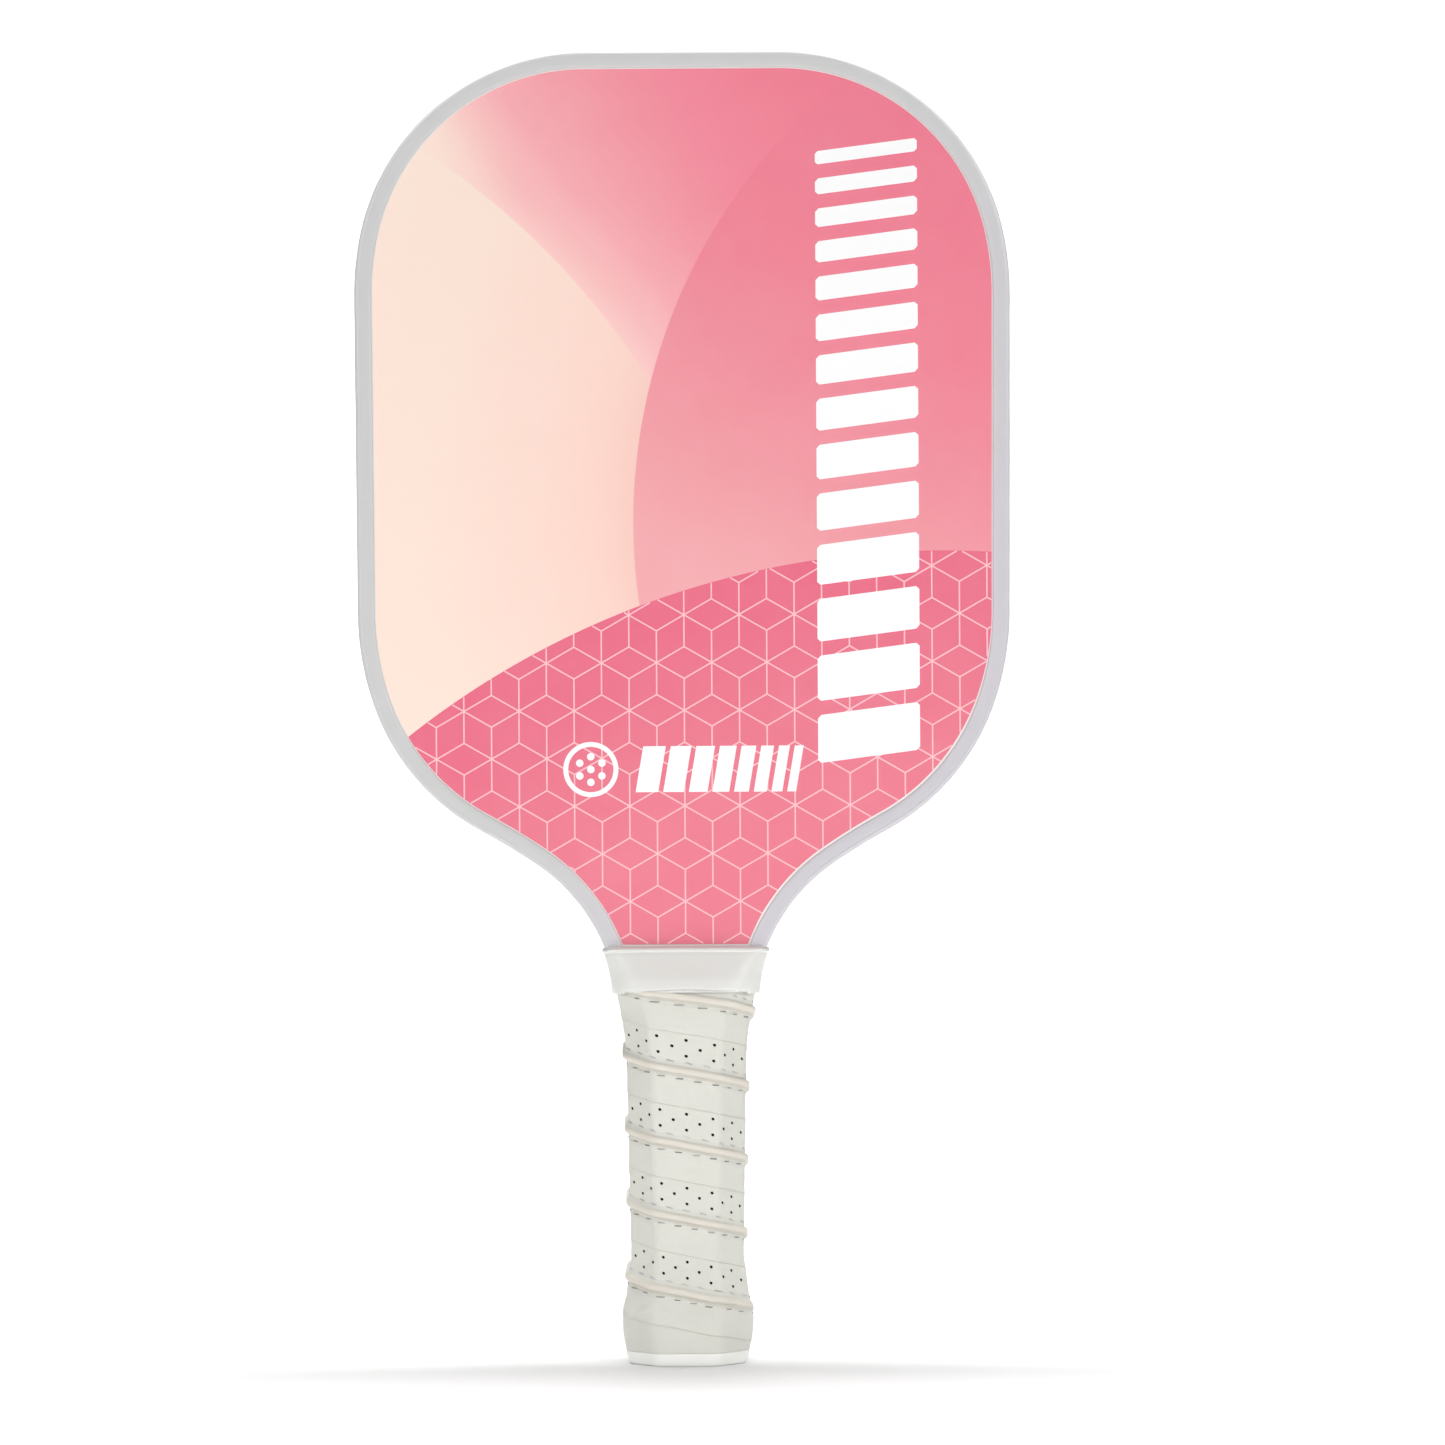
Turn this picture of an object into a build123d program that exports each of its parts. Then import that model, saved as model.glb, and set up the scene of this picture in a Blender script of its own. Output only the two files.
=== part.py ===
from build123d import *
import math
import os

# Pickleball paddle: a honeycomb sandwich blade with a channel edge guard, and an octagonal
# wrapped handle.
#
# Frame: millimetres, +Z from the butt to the tip, origin at the centre of the butt cap's flat
# end. The front hitting face looks along -Y. X is across the blade.

os.makedirs("parts", exist_ok=True)

# ---------------------------------------------------------------- driving dimensions (mm)
LENGTH = 400.0  # butt end to tip, over the edge guard
# Right half of the edge guard's outer line, clockwise from the middle of the tip:
# (kind, length of a line or radius of an arc, sweep in degrees).
# A negative sweep curves the other way.
OUTLINE = [
    ("line", 29.65, 0),  # half of the straight across the tip
    ("arc", 69.89, 78.14),  # upper corner
    ("arc", 89.91, 12.19),
    ("line", 96.64, 0),  # side
    ("arc", 87.86, 18.62),  # lower corner
    ("arc", 69.45, 42.49),
    ("arc", 198.21, -5.74),  # throat
    ("arc", 56.11, -36.15),
    ("arc", 107.83, -18.49),
    ("line", 130.0, 0),  # handle, runs on past the butt
]
LOWER_START = 4  # first segment below the side straight

# Blade lay-up, each as a thickness; the core is centred on Y = 0
CORE_T = 12.0
CELL_PITCH, CELL_WALL = 8.0, 0.35
CORE_RIM = 0.4  # wall round the honeycomb's edge
RIM_STEP = 4.0  # longest chord where the rim follows an arc
LEAST_CELL_AREA = 3.0  # smaller trimmed cells stay filled
BOND_T = 0.15
SHEET_T = 0.50
PRINT_T = 0.15

# Edge guard section
GUARD_WEB = 1.2
GUARD_BOND = 0.2
GUARD_LIP = 0.9  # lip thickness over the sheet
GUARD_LIP_TIP = 0.55  # nominal lip thickness near its free edge
GUARD_REACH = 5.3  # lip reach in from the guard's outer line
GUARD_ROUND = 1.3  # outer edge round
GUARD_END_Z = 124.5  # hidden inside the collar
GUARD_BOND_END_Z = GUARD_END_Z + 0.5
PRINT_GAP = 0.3  # bare sheet between the lip and the printed film
PRINT_LOW_Z = 127.6

# Handle, under the grip
PALLET_GLUE = 0.2
PALLET_OVER = 0.2  # pallets stand this far past the tang's edges
HANDLE_HALF_DEPTH = 13.75
HANDLE_ROUND = 2.2  # octagon edge round
PALLET_LOW_Z = 2.9
PALLET_TOP_Z = 124.0
GLUE_SIDE_IN = 0.9  # glue edge in from the pallet's sides
GLUE_LOW_IN, GLUE_TOP_IN = 0.3, 0.4  # and from its ends
# (height, octagon bevel measured along X and along Y)
BEVELS = [(0.0, 7.1), (107.0, 7.1), (118.0, 5.4), (127.0, 2.4)]
# (height, half depth)
HALF_DEPTHS = [
    (0.0, HANDLE_HALF_DEPTH), (106.0, HANDLE_HALF_DEPTH), (113.0, 12.9), (117.0, 12.0),
    (PALLET_TOP_Z, 9.2), (130.0, 8.4),
]
PALLET_STATIONS = [
    PALLET_LOW_Z, 30, 60, 85, 89, 92, 94.5, 97, 99.5, 102, 104, 107, 110, 113, 116, 119, 121.5,
    PALLET_TOP_Z,
]

# Butt cap: (height, offset of its outer octagon from the handle's)
CAP_FLOOR = 2.6
CAP_RIM_Z = 4.1
CAP_TOP_Z = 27.0
CAP_CLEAR = 0.12
CAP_RIM = [(0.0, 2.4), (1.1, 3.15), (CAP_RIM_Z, 3.9)]
CAP_SKIRT = [
    (CAP_RIM_Z, 2.0), (8.0, 2.7), (13.8, 3.15), (16.5, 2.7), (19.2, 1.8), (22.9, 1.3),
    (CAP_TOP_Z, 0.6),
]
STAPLE_Z, STAPLE_CROWN, STAPLE_LEG, STAPLE_WIRE = 13.8, 10.0, 7.4, 0.7
STAPLE_SUNK = 0.05  # crown's outer face below the skirt's
SLOT_IN, SLOT_OUT = 0.2, 1.0  # slot mouth, inwards and outwards of the skirt's face

# Grip: a strip wound up the handle, each turn lapping the one below.
# Offsets are measured outwards from the surface the strip lies on.
GRIP_PITCH = 22.4
GRIP_LAP = 3.0
GRIP_T = 1.6
ADHESIVE_T = 0.15
CUSHION_TOP = 1.00
LAYER_GAP = 0.02
SKIN_LOW = CUSHION_TOP + LAYER_GAP
GRIP_LOW_EDGE = -11.1  # lower edge of the strip from the rib's centre
GRIP_GAP = 0.12
RIB_Z0 = 67.0  # rib height on the front centre line
RIB_PROUD = 1.15
RIB_HALF = 2.1
CORD_LOW = SKIN_LOW + 0.04
# the rib and its cord run out towards the right side of the lowest turn:
# (full, gone), in turns from RIB_Z0
CORD_FADE = (1.95, 2.29)
RIB_FADE = (2.02, 2.38)
CORD_END_TURN = 2.25  # the cord and the stitching end at the middle of the right side
GRIP_START_TURN, GRIP_END_TURN = -3.0, 3.5  # past both ends of the grip, trimmed later
STITCH_ROWS = (-2.6, 2.5)
STITCH_R = 0.17
STITCH_LIFT = 0.09  # the thread lies this far over the skin
STITCH_TOP_GAP = 0.1  # from the stitching's top to the collar
GRIP_LOW_Z = CAP_RIM_Z + 0.05
GRIP_TOP_Z = 116.2

# Throat collar and the tape under it
COLLAR_LOW_Z, COLLAR_TOP_Z = 113.0, 126.5
# (height, outer half width, outer half depth, wall)
COLLAR = [
    (COLLAR_LOW_Z, 22.45, 16.4, 0.80),
    (116.6, 23.10, 15.3, 0.80),
    (120.0, 23.75, 13.6, 0.75),
    (123.5, 24.60, 11.8, 0.70),
    (125.3, 25.15, 10.9, 0.65),
    (125.5, 25.40, 11.1, 0.85),
    (COLLAR_TOP_Z, 25.60, 10.6, 0.80),
]
TAPE_T = 0.15
TAPE_GAP = 0.02  # between the tape and the collar
TAPE_LOW_Z, TAPE_TOP_Z = 113.3, 117.2
TAPE_STATIONS = [TAPE_LOW_Z, COLLAR[1][0], TAPE_TOP_Z]
SQUEEZE_GAP = 0.09  # collar to grip, over the tape's thickness
SQUEEZE_OVERRUN = 0.3
CUT_OVERRUN = 0.01  # cutters stand past the ends they open

TAN_22 = math.tan(math.radians(22.5))

# Distances of the blade's layers from Y = 0
CORE_H = CORE_T / 2
BOND_H = CORE_H + BOND_T
SHEET_H = BOND_H + SHEET_T
PRINT_H = SHEET_H + PRINT_T
GLUE_H = SHEET_H + PALLET_GLUE
GUARD_H = SHEET_H + GUARD_LIP
BLADE_INSET = GUARD_WEB + GUARD_BOND


# ---------------------------------------------------------------- shared helpers
def interp(table, z):
    """Second column of a table at height z; held level past the ends."""
    if z <= table[0][0]:
        return table[0][1]
    for (low, value_low), (high, value_high) in zip(table, table[1:]):
        if z <= high:
            return value_low + (value_high - value_low) * (z - low) / (high - low)
    return table[-1][1]


def curve(points):
    """A line through two points, or an arc through three."""
    if len(points) == 2:
        return Edge.make_line(*points)
    return Edge.make_three_point_arc(*points)


def slab(x0, x1, y0, y1, z0, z1):
    """Box between two opposite corners; the Y limits may come in either order."""
    return Pos((x0 + x1) / 2, (y0 + y1) / 2, (z0 + z1) / 2) * Box(x1 - x0, abs(y1 - y0), z1 - z0)


def one(shape):
    """The solids of a boolean result as one compound or solid."""
    solids = shape.solids()
    return solids[0] if len(solids) == 1 else Compound(children=list(solids))


def upright(shape):
    """From the sketch plane (height along Y, thickness along Z) to the part frame."""
    return shape.rotate(Axis.X, 90)


def plate(face, low, high):
    """Extrudes a sketch-plane face; positive thickness is towards the front (-Y)."""
    lowered = face.moved(Location((0, 0, low)))
    return upright(extrude(lowered, amount=high - low, dir=(0, 0, 1)))


# ---------------------------------------------------------------- the outline as a tangent chain
def outline_segments():
    """The chain's segments as dicts; headings are clockwise from +X, in radians."""
    x, z, heading = 0.0, LENGTH, 0.0
    found = []
    for kind, size, sweep in OUTLINE:
        segment = dict(kind=kind, start=(x, z), head_in=heading)
        if kind == "line":
            x, z = x + size * math.cos(heading), z - size * math.sin(heading)
            segment.update(end=(x, z))
        else:
            turn = math.radians(sweep)
            sign = 1 if turn > 0 else -1
            # the centre lies to the right of the heading for a clockwise bend
            centre_x = x - sign * size * math.sin(heading)
            centre_z = z - sign * size * math.cos(heading)
            heading += turn
            x = centre_x + sign * size * math.sin(heading)
            z = centre_z + sign * size * math.cos(heading)
            segment.update(centre=(centre_x, centre_z), radius=size, sign=sign)
        segment.update(head_out=heading)
        found.append(segment)
    return found


SEGMENTS = outline_segments()


def segment_point(segment, share, inset):
    """Point (x, z) at a share of a segment, moved inwards (right of the heading) by inset."""
    heading = segment["head_in"] + (segment["head_out"] - segment["head_in"]) * share
    if segment["kind"] == "line":
        (x0, z0), (x1, z1) = segment["start"], segment["end"]
        x = x0 + (x1 - x0) * share
        z = z0 + (z1 - z0) * share
    else:
        x = segment["centre"][0] + segment["sign"] * segment["radius"] * math.sin(heading)
        z = segment["centre"][1] + segment["sign"] * segment["radius"] * math.cos(heading)
    return x - inset * math.sin(heading), z - inset * math.cos(heading)


def share_at_z(segment, z, inset):
    low, high = 0.0, 1.0
    for _ in range(60):
        middle = (low + high) / 2
        if segment_point(segment, middle, inset)[1] > z:
            low = middle
        else:
            high = middle
    return (low + high) / 2


def segments_down_to(inset, z_end):
    """(segment, share used) from the tip's middle to height z_end."""
    used = []
    for segment in SEGMENTS:
        if segment_point(segment, 1.0, inset)[1] <= z_end:
            return used + [(segment, share_at_z(segment, z_end, inset))]
        used.append((segment, 1.0))
    return used


def right_side(inset, z_end):
    """Right half from the tip to z_end: two points (x, z) for a line, three for an arc."""
    found = []
    for segment, share in segments_down_to(inset, z_end):
        stops = (0, share) if segment["kind"] == "line" else (0, share / 2, share)
        found.append([segment_point(segment, stop, inset) for stop in stops])
    return found


def right_end(inset, z_end):
    return right_side(inset, z_end)[-1][-1]


def half_width(z, inset):
    """Half width of the outline at height z, below the widest part."""
    for segment in SEGMENTS[LOWER_START:]:
        if segment_point(segment, 1.0, inset)[1] <= z:
            return segment_point(segment, share_at_z(segment, z, inset), inset)[0]
    return segment_point(SEGMENTS[-1], 1.0, inset)[0]


def flat_vector(point, mirror=False):
    """A point (x, z) in the sketch plane, or its mirror image on the left."""
    return Vector(-point[0] if mirror else point[0], point[1], 0)


def side_edges(inset, z_end):
    """Sketch-plane edges from the left end over the tip to the right end."""
    right = right_side(inset, z_end)
    tip_corner = right[0][-1]
    sides = right[1:]
    left_edges = [curve([flat_vector(p, True) for p in points[::-1]]) for points in sides[::-1]]
    right_edges = [curve([flat_vector(p) for p in points]) for points in sides]
    tip = curve([flat_vector(tip_corner, True), flat_vector(tip_corner)])
    return left_edges + [tip] + right_edges


def outline_wire(inset, z_end):
    end = right_end(inset, z_end)
    return Wire(side_edges(inset, z_end) + [curve([flat_vector(end), flat_vector(end, True)])])


# ---------------------------------------------------------------- honeycomb core
def outline_points(inset, z_end, step):
    """The closed outline as a polygon of (x, z)."""
    right = []
    for segment, share in segments_down_to(inset, z_end):
        count = 1
        if segment["kind"] == "arc":
            length = abs(segment["head_out"] - segment["head_in"]) * segment["radius"]
            count = max(2, math.ceil(length * share / step))
        right += [segment_point(segment, share * k / count, inset) for k in range(count)]
    right.append(segment_point(segment, share, inset))
    right = right[1:]
    return right + [(-x, z) for x, z in reversed(right)]


def clip(polygon, start, end):
    """Part of a polygon to the left of start->end (Sutherland-Hodgman)."""
    kept = []
    normal_x, normal_z = -(end[1] - start[1]), end[0] - start[0]
    sides = [(x - start[0]) * normal_x + (z - start[1]) * normal_z for x, z in polygon]
    for i, here in enumerate(polygon):
        following = polygon[(i + 1) % len(polygon)]
        side, next_side = sides[i], sides[(i + 1) % len(polygon)]
        if side >= 0:
            kept.append(here)
        if (side > 0) != (next_side > 0) and abs(side - next_side) > 1e-12:
            t = side / (side - next_side)
            if 1e-9 < t < 1 - 1e-9:
                kept.append((
                    here[0] + (following[0] - here[0]) * t,
                    here[1] + (following[1] - here[1]) * t,
                ))
    return kept


def area(polygon):
    following = polygon[1:] + polygon[:1]
    return 0.5 * sum(p[0] * q[1] - q[0] * p[1] for p, q in zip(polygon, following))


def cleaned(polygon, least_edge=0.12, least_bend=0.004):
    """Drops points that lie too close together, then those in line with their neighbours."""
    spaced = []
    for point in polygon:
        if not spaced or math.dist(point, spaced[-1]) > least_edge:
            spaced.append(point)
    if len(spaced) > 2 and math.dist(spaced[0], spaced[-1]) <= least_edge:
        spaced.pop()
    kept = []
    for i, (x, z) in enumerate(spaced):
        before, after = spaced[i - 1], spaced[(i + 1) % len(spaced)]
        bend = (x - before[0]) * (after[1] - z) - (z - before[1]) * (after[0] - x)
        if abs(bend) > least_bend:
            kept.append((x, z))
    return kept


def honeycomb(inset, z_end):
    """Cell openings: hexagons on a staggered grid, trimmed at a rim that follows the outline."""
    rim = outline_points(inset + CORE_RIM, z_end + CORE_RIM, RIM_STEP)
    if area(rim) < 0:
        rim.reverse()
    corner_radius = (CELL_PITCH - CELL_WALL) / math.sqrt(3)
    angles = [math.radians(30 + 60 * k) for k in range(6)]
    row_pitch = CELL_PITCH * math.sqrt(3) / 2
    holes = []
    for row in range(int(LENGTH / row_pitch) + 2):
        centre_z = row * row_pitch
        for column in range(-14, 15):
            centre_x = (column + 0.5 * (row % 2)) * CELL_PITCH
            hexagon = [
                (centre_x + corner_radius * math.cos(a), centre_z + corner_radius * math.sin(a))
                for a in angles
            ]
            hole = rim
            for k in range(6):
                hole = clip(hole, hexagon[k], hexagon[(k + 1) % 6])
                if len(hole) < 3:
                    break
            if len(hole) < 3:
                continue
            hole = cleaned(hole)
            if len(hole) >= 3 and area(hole) > LEAST_CELL_AREA:
                holes.append(hole)
    return holes


def polygon_wire(points):
    return Wire.make_polygon([flat_vector(point) for point in points], close=True)


# ---------------------------------------------------------------- blade
parts = {}


def add_pair(name, face, low, high):
    """A layer on the front, and its mirror image on the back."""
    parts[f"front_{name}"] = plate(face, low, high)
    parts[f"back_{name}"] = plate(face, -high, -low)


blade_wire = outline_wire(BLADE_INSET, PALLET_LOW_Z)
cells = [polygon_wire(hole) for hole in honeycomb(BLADE_INSET, PALLET_LOW_Z)]
parts["honeycomb_core"] = plate(Face(blade_wire, cells), -CORE_H, CORE_H)
sheet_face = Face(blade_wire)
add_pair("bond_film", sheet_face, CORE_H, BOND_H)
add_pair("face_sheet", sheet_face, BOND_H, SHEET_H)
print_face = Face(outline_wire(GUARD_REACH + PRINT_GAP, PRINT_LOW_Z))
add_pair("print_film", print_face, SHEET_H, PRINT_H)


# ---------------------------------------------------------------- edge guard and its bond line
def guard_section(plane):
    """Channel section; local x is outwards across the blade, local y is thickness."""
    diagonal = GUARD_ROUND * math.cos(math.radians(45))
    round_in = GUARD_H - GUARD_ROUND
    lip_shoulder = (-GUARD_REACH + 0.7, SHEET_H + GUARD_LIP_TIP + 0.12)
    lip_nose = (-GUARD_REACH + 0.18, SHEET_H + GUARD_LIP_TIP - 0.16)
    lip_edge = (-GUARD_REACH, SHEET_H + 0.12)
    # front half, from the outer face round the lip to the web's inner face
    half = [
        [(0, round_in), (-GUARD_ROUND + diagonal, round_in + diagonal), (-GUARD_ROUND, GUARD_H)],
        [(-GUARD_ROUND, GUARD_H), lip_shoulder],
        [lip_shoulder, lip_nose, lip_edge],
        [lip_edge, (-GUARD_REACH, SHEET_H)],
        [(-GUARD_REACH, SHEET_H), (-GUARD_WEB, SHEET_H)],
    ]
    mirrored = [[(x, -y) for x, y in reversed(points)] for points in reversed(half)]
    outer_face = [(0, -round_in), (0, round_in)]
    web_face = [(-GUARD_WEB, SHEET_H), (-GUARD_WEB, -SHEET_H)]
    loop = [outer_face] + half + [web_face] + mirrored
    edges = []
    for points in loop:
        edges.append(curve([plane.from_local_coords(Vector(x, y, 0)) for x, y in points]))
    return Face(Wire(edges))


def edge_guard():
    path = Wire(side_edges(0.0, GUARD_END_Z))
    outward = path.tangent_at(0).cross(Vector(0, 0, 1))
    # the path starts at the left end, where outwards is towards -X
    if outward.dot(Vector(-1, 0, 0)) < 0:
        outward = -outward
    plane = Plane(
        origin=path.position_at(0), x_dir=outward, z_dir=outward.cross(Vector(0, 0, 1))
    )
    return upright(Solid.sweep(guard_section(plane), path))


def edge_bond_strip():
    edges = side_edges(GUARD_WEB, GUARD_BOND_END_Z) + side_edges(BLADE_INSET, GUARD_BOND_END_Z)
    outer_end = right_end(GUARD_WEB, GUARD_BOND_END_Z)
    inner_end = right_end(BLADE_INSET, GUARD_BOND_END_Z)
    for mirror in (False, True):
        edges.append(curve([flat_vector(outer_end, mirror), flat_vector(inner_end, mirror)]))
    return plate(Face(Wire(edges)), -CORE_H, CORE_H)


parts["edge_guard"] = edge_guard()
parts["edge_bond_strip"] = edge_bond_strip()


# ---------------------------------------------------------------- octagonal sections of the handle
def handle_width(z):
    """Half width of the handle under the grip."""
    return half_width(z, BLADE_INSET) + PALLET_OVER


def handle_depth(z):
    """Half depth of the handle under the grip."""
    return interp(HALF_DEPTHS, z)


def octagon_corners(z, width, depth, offset):
    """Corner arcs (centre x, centre y, start angle) and their radius.

    Width and depth are halves. The corners run anticlockwise seen from above (+Z), from the
    front facet's right end.
    """
    bevel = interp(BEVELS, z)
    # along a facet, an arc's centre is round * tan(22.5) in from the octagon's corner
    facet_x, facet_y = width - bevel - HANDLE_ROUND * TAN_22, depth - HANDLE_ROUND
    side_x, side_y = width - HANDLE_ROUND, depth - bevel - HANDLE_ROUND * TAN_22
    corners = [
        (facet_x, -facet_y, -90), (side_x, -side_y, -45),
        (side_x, side_y, 0), (facet_x, facet_y, 45),
        (-facet_x, facet_y, 90), (-side_x, side_y, 135),
        (-side_x, -side_y, 180), (-facet_x, -facet_y, 225),
    ]
    return corners, HANDLE_ROUND + offset


def corner_point(corner, radius, turned):
    """Point (x, y) on a corner arc, turned degrees from its start."""
    x, y, start_angle = corner
    angle = math.radians(start_angle + turned)
    return x + radius * math.cos(angle), y + radius * math.sin(angle)


def octagon_wire(z, width, depth, offset):
    corners, radius = octagon_corners(z, width, depth, offset)
    arcs = [
        [Vector(*corner_point(corner, radius, turned), z) for turned in (0, 22.5, 45)]
        for corner in corners
    ]
    edges = []
    for arc, next_arc in zip(arcs, arcs[1:] + arcs[:1]):
        edges += [curve(arc), curve([arc[-1], next_arc[0]])]
    return Wire(edges)


def octagon_loft(stations):
    """Ruled solid through rounded octagons given as (z, half width, half depth, offset)."""
    return Solid.make_loft([octagon_wire(*station) for station in stations], ruled=True)


def handle_loft(offsets):
    """Loft that stands off the handle, from (height, offset) pairs."""
    return octagon_loft([(z, handle_width(z), handle_depth(z), off) for z, off in offsets])


# ---------------------------------------------------------------- handle pallets and their glue
handle = handle_loft([(z, 0.0) for z in PALLET_STATIONS])
front_pallet = handle & slab(-60, 60, -40, -GLUE_H, -10, 200)
back_pallet = handle & slab(-60, 60, GLUE_H, 40, -10, 200)

glue_heights = [
    PALLET_LOW_Z + GLUE_LOW_IN, *PALLET_STATIONS[1:-1], PALLET_TOP_Z - GLUE_TOP_IN
]
glue_right = [(handle_width(z) - GLUE_SIDE_IN, z) for z in glue_heights]
glue_left = [(-x, z) for x, z in reversed(glue_right)]
add_pair("pallet_glue", Face(polygon_wire(glue_right + glue_left)), SHEET_H, GLUE_H)

# ---------------------------------------------------------------- butt cap and its staples
STAPLE_HALF = (STAPLE_CROWN + STAPLE_WIRE) / 2
SKIRT_FACE_Y = HANDLE_HALF_DEPTH + interp(CAP_SKIRT, STAPLE_Z)


def staple_bar(x0, x1, y0, y1):
    """Bar as high as the staple's wire, at the staple's height."""
    return slab(x0, x1, y0, y1, STAPLE_Z - STAPLE_WIRE / 2, STAPLE_Z + STAPLE_WIRE / 2)


def staple(sign):
    """Staple through the front (sign -1) or the back (sign 1) of the skirt."""
    y = sign * (SKIRT_FACE_Y - STAPLE_WIRE / 2 - STAPLE_SUNK)
    shape = staple_bar(-STAPLE_HALF, STAPLE_HALF, y - STAPLE_WIRE / 2, y + STAPLE_WIRE / 2)
    for x in (-STAPLE_CROWN / 2, STAPLE_CROWN / 2):
        leg_end = y - sign * STAPLE_LEG
        shape = shape + staple_bar(x - STAPLE_WIRE / 2, x + STAPLE_WIRE / 2, y, leg_end)
    return shape.solids()[0]


def slot_mouth(sign):
    y = sign * SKIRT_FACE_Y
    return staple_bar(-STAPLE_HALF, STAPLE_HALF, y - sign * SLOT_IN, y + sign * SLOT_OUT)


skirt = handle_loft(CAP_SKIRT)
rim = handle_loft(CAP_RIM)
bore = handle_loft([(z, CAP_CLEAR) for z in (CAP_FLOOR, 14.0, CAP_TOP_Z + 1.0)])
cap = (rim + skirt) - bore
staples = [staple(sign) for sign in (-1, 1)]
# a staple is driven in flush, so it leaves an open slot in the skirt
for cutter in staples + [slot_mouth(sign) for sign in (-1, 1)]:
    cap = cap - cutter
    front_pallet = front_pallet - cutter
    back_pallet = back_pallet - cutter
parts["butt_cap"] = one(cap)
parts["cap_staples"] = Compound(children=staples)
parts["front_handle_pallet"] = one(front_pallet)
parts["back_handle_pallet"] = one(back_pallet)

# ---------------------------------------------------------------- path of the grip strip
# Weights that share out one turn between flats and corners, anticlockwise seen from above,
# from the front centre line
CORNER = (HANDLE_ROUND + 1.0) * math.pi / 4
FRONT, BEVEL, SIDE = 18.0, 9.2, 12.6
TO_SIDE = [CORNER, BEVEL, CORNER]
TURN_PARTS = [
    FRONT / 2, *TO_SIDE, SIDE, *TO_SIDE, FRONT, *TO_SIDE, SIDE, *TO_SIDE, FRONT / 2
]
TURN_TOTAL = sum(TURN_PARTS)
BACK_PART = 8  # the back flat's place in TURN_PARTS

# Gap between the strip and what it lies on
GLUE_GAP = 0.12
THROAT_GAP = 0.28  # where the handle starts to widen
FLARE_GAP = 0.3  # the strip bridges the cap's hollows
# below the cap's rim the skirt's slope carries on, so that the strip runs straight to its cut
BASE_LOW_Z, BASE_TOP_Z = -16.0, 118.0
(SKIRT_Z0, SKIRT_OFF0), (SKIRT_Z1, SKIRT_OFF1) = CAP_SKIRT[:2]
SKIRT_SLOPE = (SKIRT_OFF1 - SKIRT_OFF0) / (SKIRT_Z1 - SKIRT_Z0)
LONG_SKIRT = [(BASE_LOW_Z, SKIRT_OFF0 - SKIRT_SLOPE * (SKIRT_Z0 - BASE_LOW_Z))] + CAP_SKIRT
BASE_OFFSETS = [(z, offset + FLARE_GAP) for z, offset in LONG_SKIRT] + [
    (31.0, GLUE_GAP), (98.0, GLUE_GAP), (103.0, THROAT_GAP), (200.0, THROAT_GAP),
]


def octagon_point(share, z, width, depth, offset):
    """Point (x, y) on the rounded octagon at a share of the turn, 0 at the front's middle."""
    corners, radius = octagon_corners(z, width, depth, offset)
    run = (share % 1.0) * TURN_TOTAL
    last = len(TURN_PARTS) - 1
    for i, part in enumerate(TURN_PARTS):
        if run <= part or i == last:
            t = min(1.0, run / part)
            break
        run -= part
    corner = i // 2  # the corner of an odd part, or the one after an even part
    if i % 2 == 1:
        return corner_point(corners[corner], radius, 45 * t)
    if i == 0:
        x, y = corner_point(corners[0], radius, 0)
        return x * t, y
    x0, y0 = corner_point(corners[corner - 1], radius, 45)
    if i == last:
        return x0 * (1 - t), y0
    x1, y1 = corner_point(corners[corner], radius, 0)
    return x0 + (x1 - x0) * t, y0 + (y1 - y0) * t


def grip_base(z):
    """Half width, half depth and extra offset of what the grip lies on."""
    held_z = min(max(BASE_LOW_Z, z), BASE_TOP_Z)
    return handle_width(held_z), handle_depth(held_z), interp(BASE_OFFSETS, z)


base_cache = {}


def grip_point(turn, across, offset):
    """Point on the strip; across is the height over the rib's centre line.

    An offset is a number, or a function of the turn.
    """
    if callable(offset):
        offset = offset(turn)
    z = RIB_Z0 - GRIP_PITCH * turn + across
    key = round(z, 4)
    if key not in base_cache:
        base_cache[key] = grip_base(z)
    width, depth, base_offset = base_cache[key]
    x, y = octagon_point(turn, z, width, depth, base_offset + offset)
    return Vector(x, y, z)


def turn_steps():
    """(start as a share of the turn, is a corner) of every flat and corner."""
    steps, run = [], 0.0
    for i, part in enumerate(TURN_PARTS):
        steps.append((run / TURN_TOTAL, i % 2 == 1))
        if i == BACK_PART:  # split at its middle
            steps.append(((run + part / 2) / TURN_TOTAL, False))
        run += part
    return steps


TURN_STEPS = turn_steps()


def helical(section, first, last):
    """Solid from a closed polygon of (across, offset), carried round the handle flat by flat.

    It runs between two turns; its ends lie on the plane X = 0 or Y = 0.
    """
    steps = [
        (k + share, is_corner)
        for k in range(math.floor(first), math.ceil(last))
        for share, is_corner in TURN_STEPS
        if first - 1e-9 <= k + share < last - 1e-9
    ]
    step_ends = [turn for turn, _ in steps[1:]] + [last]
    runs = []
    for across, offset in section:
        run = []
        for (start, is_corner), end in zip(steps, step_ends):
            stops = (start, (start + end) / 2, end) if is_corner else (start, end)
            run.append(curve([grip_point(turn, across, offset) for turn in stops]))
        runs.append(run)
    faces = []
    for run, next_run in zip(runs, runs[1:] + runs[:1]):
        for edge, next_edge in zip(run, next_run):
            faces.append(Face.make_surface_from_curves(edge, next_edge))
    for turn in (first, last):
        points = [grip_point(turn, across, offset) for across, offset in section]
        faces.append(Face(Wire.make_polygon(points, close=True)))
    return Solid(Shell(faces))


# ---------------------------------------------------------------- sections of the grip's layers
# points across the strip, below and above the rib
LOW_KNOTS, TOP_KNOTS = [-6.4, -3.8], [4.0, 7.0, 9.6]


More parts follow.
